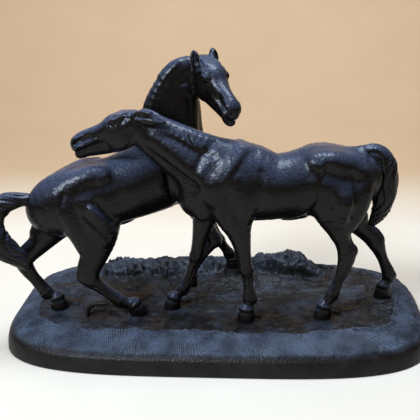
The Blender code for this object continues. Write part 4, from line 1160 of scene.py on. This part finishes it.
def rimRows(seats):
    # rings of points up the outside, from the foot to the top of the rim, with the grass cut into them
    sectors = plinth["rimSectors"]
    angle = 2 * np.pi * np.arange(sectors) / sectors
    edgeX, edgeY = outlineAt(angle, 0)
    edge = flatPoints(edgeX, edgeY)
    arc = np.concatenate([[0], np.cumsum(np.hypot(np.diff(edgeX), np.diff(edgeY)))])
    lip = plinth["grassTo"] + 3.4 * grain(edge, 26.0, 21) + 1.6 * grain(edge, 7.0, 22)
    profile = np.array(plinth["rim"])
    lengths = np.concatenate([[0], np.cumsum(np.hypot(*np.diff(profile, axis=0).T))])
    marks = np.concatenate([[0, 1.2, 3.5, 6.0, 8.5, 10.5, 12.0], np.arange(12.8, lengths[-1] + 0.01, 0.85)])
    rim = np.stack([np.interp(marks, lengths, profile[:, 0]), np.interp(marks, lengths, profile[:, 1])], 1)
    slopes = np.gradient(rim, axis=0)
    slopes /= np.linalg.norm(slopes, axis=1)[:, None]
    rows, shares, bands, phases = [], [], [], []
    for (inset, height), slope, mark in zip(rim, slopes, marks):
        x, y = outlineAt(angle, inset)
        ins = np.full(sectors, inset)
        along = flatPoints(arc, ins)
        # blades: fine slanting ridges whose lean changes from tuft to tuft
        lean = 0.7 + 0.8 * grain(along * [1, 0.4, 1], 26.0, 23)
        phase = arc + lean * (mark - 26.0) + 0.7 * grain(along, 9.0, 24)
        ridge = np.sin(2 * np.pi * phase / plinth["hatchPitch"])
        inBand = np.clip((ins - plinth["grassFrom"]) / 3.0, 0, 1) * np.clip((lip - ins) / 1.2, 0, 1)
        tufts = 0.5 * grain(along, 8.0, 25) + 0.35 * grain(along, 3.4, 26)
        lift = inBand * (0.5 + plinth["hatchHeight"] * ridge + tufts)
        base = np.full(sectors, height)
        if inset > 17:
            share = np.clip((ins - 19.0) / 8.0, 0, 1)
            ground = groundAt(x, y, seats)
            base = base * (1 - share) + np.where(ground > height - 1.5, ground, height - 1.5) * share
            base = base + 1.2 * np.exp(-((ins - lip + 1.4) / 1.5) ** 2) * np.clip((ins - 15) / 8, 0, 1)
        outX, outY = outlineAt(angle, inset - 0.01)
        outX, outY = outX - x, outY - y
        size = np.hypot(outX, outY)
        sideways = slope[1] * lift
        rows.append(np.stack([x + outX / size * sideways, y + outY / size * sideways, base + slope[0] * lift], 1))
        # the share of painted highlight: most on the grass band, patchy on the earth
        onEarth = earthHighlight(x, y) * np.clip((ins - 15) / 8, 0, 1)
        shares.append(np.maximum(inBand * (0.85 + 0.3 * grain(along, 10.0, 27)), onEarth))
        bands.append(inBand)
        phases.append(phase)
    return rows, shares, bands, phases, rim[-1][0]


def stitch(faces, startA, countA, startB, countB):
    # a band of faces between two rings; the second may have half as many points
    k = np.arange(countB)
    n = (k + 1) % countB
    if countA == countB:
        faces.extend(zip(startA + k, startA + n, startB + n, startB + k))
        return
    even, odd, nextEven = startA + 2 * k, startA + 2 * k + 1, startA + (2 * k + 2) % countA
    faces.extend(zip(even, odd, startB + k))
    faces.extend(zip(odd, nextEven, startB + n, startB + k))


def buildPlinth():
    seats = []
    for horse in (frontHorse, rearHorse):
        for legName, leg in horse["legs"].items():
            if horse is rearHorse and legName == "right_foreleg":
                continue
            foot = toWorld(horse, np.array([leg[-1][:3]], float))[0]
            seats.append((foot[0] - plinthMidX, foot[1], leg[-1][2] - 0.3))
    rows, shares, bands, phases, start = rimRows(seats)
    sectors = plinth["rimSectors"]
    rings = [(row, sectors) for row in rows]
    for inset in np.arange(start + 1.0, start + 30.0, 1.25):
        x, y = outlineAt(2 * np.pi * np.arange(sectors // 2) / (sectors // 2), inset)
        rings.append((np.stack([x, y, groundAt(x, y, seats)], 1), sectors // 2))
    quarter = sectors // 4
    turn = 2 * np.pi * np.arange(quarter) / quarter
    lastX, lastY = outlineAt(turn, start + 30.5)
    for scale in np.linspace(1.0, 0.03, 50):
        x, y = lastX * scale, lastY * scale
        rings.append((np.stack([x, y, groundAt(x, y, seats)], 1), quarter))

    points, faces, starts = [], [], []
    total = 0
    for row, count in rings:
        starts.append(total)
        points.append(row)
        total += count
    for (rowA, countA), (rowB, countB), a, b in zip(rings, rings[1:], starts, starts[1:]):
        stitch(faces, a, countA, b, countB)
    k = np.arange(quarter)
    n = (k + 1) % quarter
    middle = groundAt(np.zeros(1), np.zeros(1), seats)[0]
    points.append(np.array([[0.0, 0.0, middle]]))
    faces.extend(zip(starts[-1] + k, starts[-1] + n, [total] * quarter))
    total += 1

    # the hollow underneath
    under = []
    for inset, z in ((5.0, 0.0), (5.3, 3.0), (6.5, 9.0), (13.0, 13.5), (25.0, 17.0)):
        x, y = outlineAt(turn, inset)
        under.append(np.stack([x, y, np.full(quarter, z)], 1))
    innerX, innerY = outlineAt(turn, 29.0)
    for scale in np.linspace(0.93, 0.05, 14):
        x, y = innerX * scale, innerY * scale
        under.append(np.stack([x, y, underAt(x, y)], 1))
    underStarts = []
    for row in under:
        underStarts.append(total)
        points.append(row)
        total += len(row)
    for a, b in zip(underStarts, underStarts[1:]):
        faces.extend(zip(a + k, b + k, b + n, a + n))
    points.append(np.array([[0.0, 0.0, plinth["groundZ"] - plinth["wall"] - 1.2]]))
    faces.extend(zip(underStarts[-1] + k, [total] * quarter, underStarts[-1] + n))
    # the foot of the rim joins outside and inside
    for j in range(4):
        faces.extend(zip((4 * k + j + 1) % sectors, 4 * k + j, underStarts[0] + k))
    faces.extend(zip((4 * k + 4) % sectors, underStarts[0] + k, underStarts[0] + n))

    placed = np.concatenate(points)
    placed[:, 0] += plinthMidX
    mesh = bpy.data.meshes.new("plinth_casting")
    mesh.from_pydata((placed * mm).tolist(), [], [tuple(int(c) for c in face) for face in faces])
    mesh.validate()
    mesh.shade_smooth()
    outside = len(rows) * sectors
    # each point carries its share of the painted highlight, and the blade stripes of the grass edge
    highlightShare = earthHighlight(placed[:, 0] - plinthMidX, placed[:, 1])
    highlightShare[:outside] = np.concatenate(shares)
    hatch, grass = np.zeros(len(placed)), np.zeros(len(placed))
    hatch[:outside] = np.concatenate(phases)
    grass[:outside] = np.concatenate(bands)
    for name, values in (("highlightShare", highlightShare), ("hatch", hatch), ("grass", grass)):
        mesh.attributes.new(name, 'FLOAT', 'POINT').data.foreach_set("value", values.astype(np.float32))
    showPiece("plinth_casting", mesh, groundIron, ["plinth"])


buildPlinth()

# the little cast root behind the rear horse's hind hoof
prop = [(-102.5, -37.5, 21.2, 1.5, 1.5), (-102.5, -37.5, 25.0, 1.5, 1.5), (-101.2, -37.8, 29.5, 1.7, 1.7),
        (-96.5, -38.3, 33.4, 1.7, 1.7), (-89.0, -38.8, 34.6, 1.6, 1.6), (-85.0, -39.0, 34.2, 1.3, 1.3)]
low, high = boxOf(prop, 1.5)
clay = Clay(low, high, detail["prop"])
add(clay, tube(clay, prop, upright, 5, 3.0), 0.5)
points, quads = clay.skin()
points[:, 0] += plinthMidX
mesh = makeMesh("leg_prop_casting", points, quads)
roughen(mesh, [(1.2, 0.12)])
showPiece("leg_prop_casting", mesh, groundIron, ["leg_prop"])

# turned and milled steel pieces keep their own shape and only take the steel
for nodeName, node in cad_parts.items():
    if nodeName.rsplit("_", 1)[-1] in ("pin", "dowel", "stud", "washer", "nut"):
        node.data.materials.clear()
        node.data.materials.append(steel)

studio = {
    "floorColour": (0.66, 0.61, 0.53), "wallColour": (0.48, 0.35, 0.225),
    "blend": (0.22, 0.44),                                    # where the floor's colour turns into the wall's
    "worldColour": (0.95, 0.80, 0.66), "worldStrength": 0.22,
    "camera": {"azimuth": 4.63, "lift": 19.81, "roll": -1.37,  # degrees
               "aim": (-3.92, 0.0, 101.0), "distance": 0.6, "lens": 62.97},
    # name: (place, aimed at, size, watts, colour)
    "lights": {
        "window": ((-0.50, -0.72, 0.95), (0.0, 0.0, 0.10), (0.40, 0.34), 18.0, (0.76, 0.87, 1.0)),
        "overhead": ((0.18, 0.10, 1.15), (0.0, 0.0, 0.10), (0.45, 0.40), 12.0, (0.76, 0.87, 1.0)),
        "wall": ((0.0, 0.30, 0.80), (0.0, 1.05, 0.45), (1.8, 0.5), 6.0, (1.0, 0.90, 0.78)),
    },
}


def makeFloor():
    # a pale sweep: flat under the sculpture, rising far behind it
    rows = [(-1.6, 0.0), (0.55, 0.0)]
    for k in range(1, 13):
        angle = math.pi / 2 * k / 12
        rows.append((0.55 + 0.5 * math.sin(angle), 0.5 - 0.5 * math.cos(angle)))
    rows.append((1.05, 2.4))
    points = np.array([(x, y, z - 0.0002) for y, z in rows for x in (-2.5, 2.5)]) / mm
    faces = np.array([(2 * i, 2 * i + 1, 2 * i + 3, 2 * i + 2) for i in range(len(rows) - 1)])
    sweep = bpy.data.objects.new("pale_sweep", makeMesh("pale_sweep", points, faces))
    bpy.context.scene.collection.objects.link(sweep)
    made, nodes, links, shader = nodesOf("pale_paper")
    coords = nodes.new("ShaderNodeTexCoord").outputs["Object"]
    mottled = noiseNode(nodes, links, coords, 9.0, 3.0)
    split = nodes.new("ShaderNodeSeparateXYZ")
    links.new(coords, split.inputs[0])
    fromY, toY = studio["blend"]
    paper = rampNode(nodes, links, split.outputs["Y"], [(fromY, studio["floorColour"]), (toY, studio["wallColour"])])
    cloud = rampNode(nodes, links, mottled, [(0.3, (0.96, 0.955, 0.945)), (0.7, (1.0, 1.0, 1.0))])
    links.new(mixNode(nodes, links, 1.0, paper, cloud, 'MULTIPLY'), shader.inputs["Base Color"])
    shader.inputs["Roughness"].default_value = 0.75
    sweep.data.materials.append(made)
    print("floor laid")


def makeLights():
    for name, (place, aim, size, watts, colour) in studio["lights"].items():
        lamp = bpy.data.lights.new(name, 'AREA')
        lamp.shape = 'RECTANGLE'
        lamp.size, lamp.size_y = size
        lamp.energy = watts
        lamp.color = colour
        holder = bpy.data.objects.new(name, lamp)
        holder.location = place
        holder.rotation_euler = (Vector(aim) - Vector(place)).to_track_quat('-Z', 'Y').to_euler()
        bpy.context.scene.collection.objects.link(holder)
    world = bpy.data.worlds.new("room")
    world.use_nodes = True
    world.node_tree.nodes["Background"].inputs["Color"].default_value = (*studio["worldColour"], 1.0)
    world.node_tree.nodes["Background"].inputs["Strength"].default_value = studio["worldStrength"]
    bpy.context.scene.world = world
    bpy.context.scene.view_settings.view_transform = 'Standard'
    print("lights", ", ".join(studio["lights"]))


def makeCamera():
    view = studio["camera"]
    azimuth, lift, roll = [math.radians(view[word]) for word in ("azimuth", "lift", "roll")]
    x, y, z = view["aim"]
    aim = Vector((x + plinthMidX, y, z)) * mm
    back = Vector((math.sin(azimuth) * math.cos(lift), -math.cos(azimuth) * math.cos(lift), math.sin(lift)))
    lens = bpy.data.cameras.new("camera")
    lens.sensor_width = 36.0
    lens.lens = view["lens"]
    lens.clip_start = 0.02
    holder = bpy.data.objects.new("camera", lens)
    holder.location = aim + back * view["distance"]
    turn = (-back).to_track_quat('-Z', 'Y') @ Matrix.Rotation(roll, 3, 'Z').to_quaternion()
    holder.rotation_euler = turn.to_euler()
    bpy.context.scene.collection.objects.link(holder)
    bpy.context.scene.camera = holder
    print("camera", view["distance"], "m away")


makeFloor()
makeLights()
makeCamera()
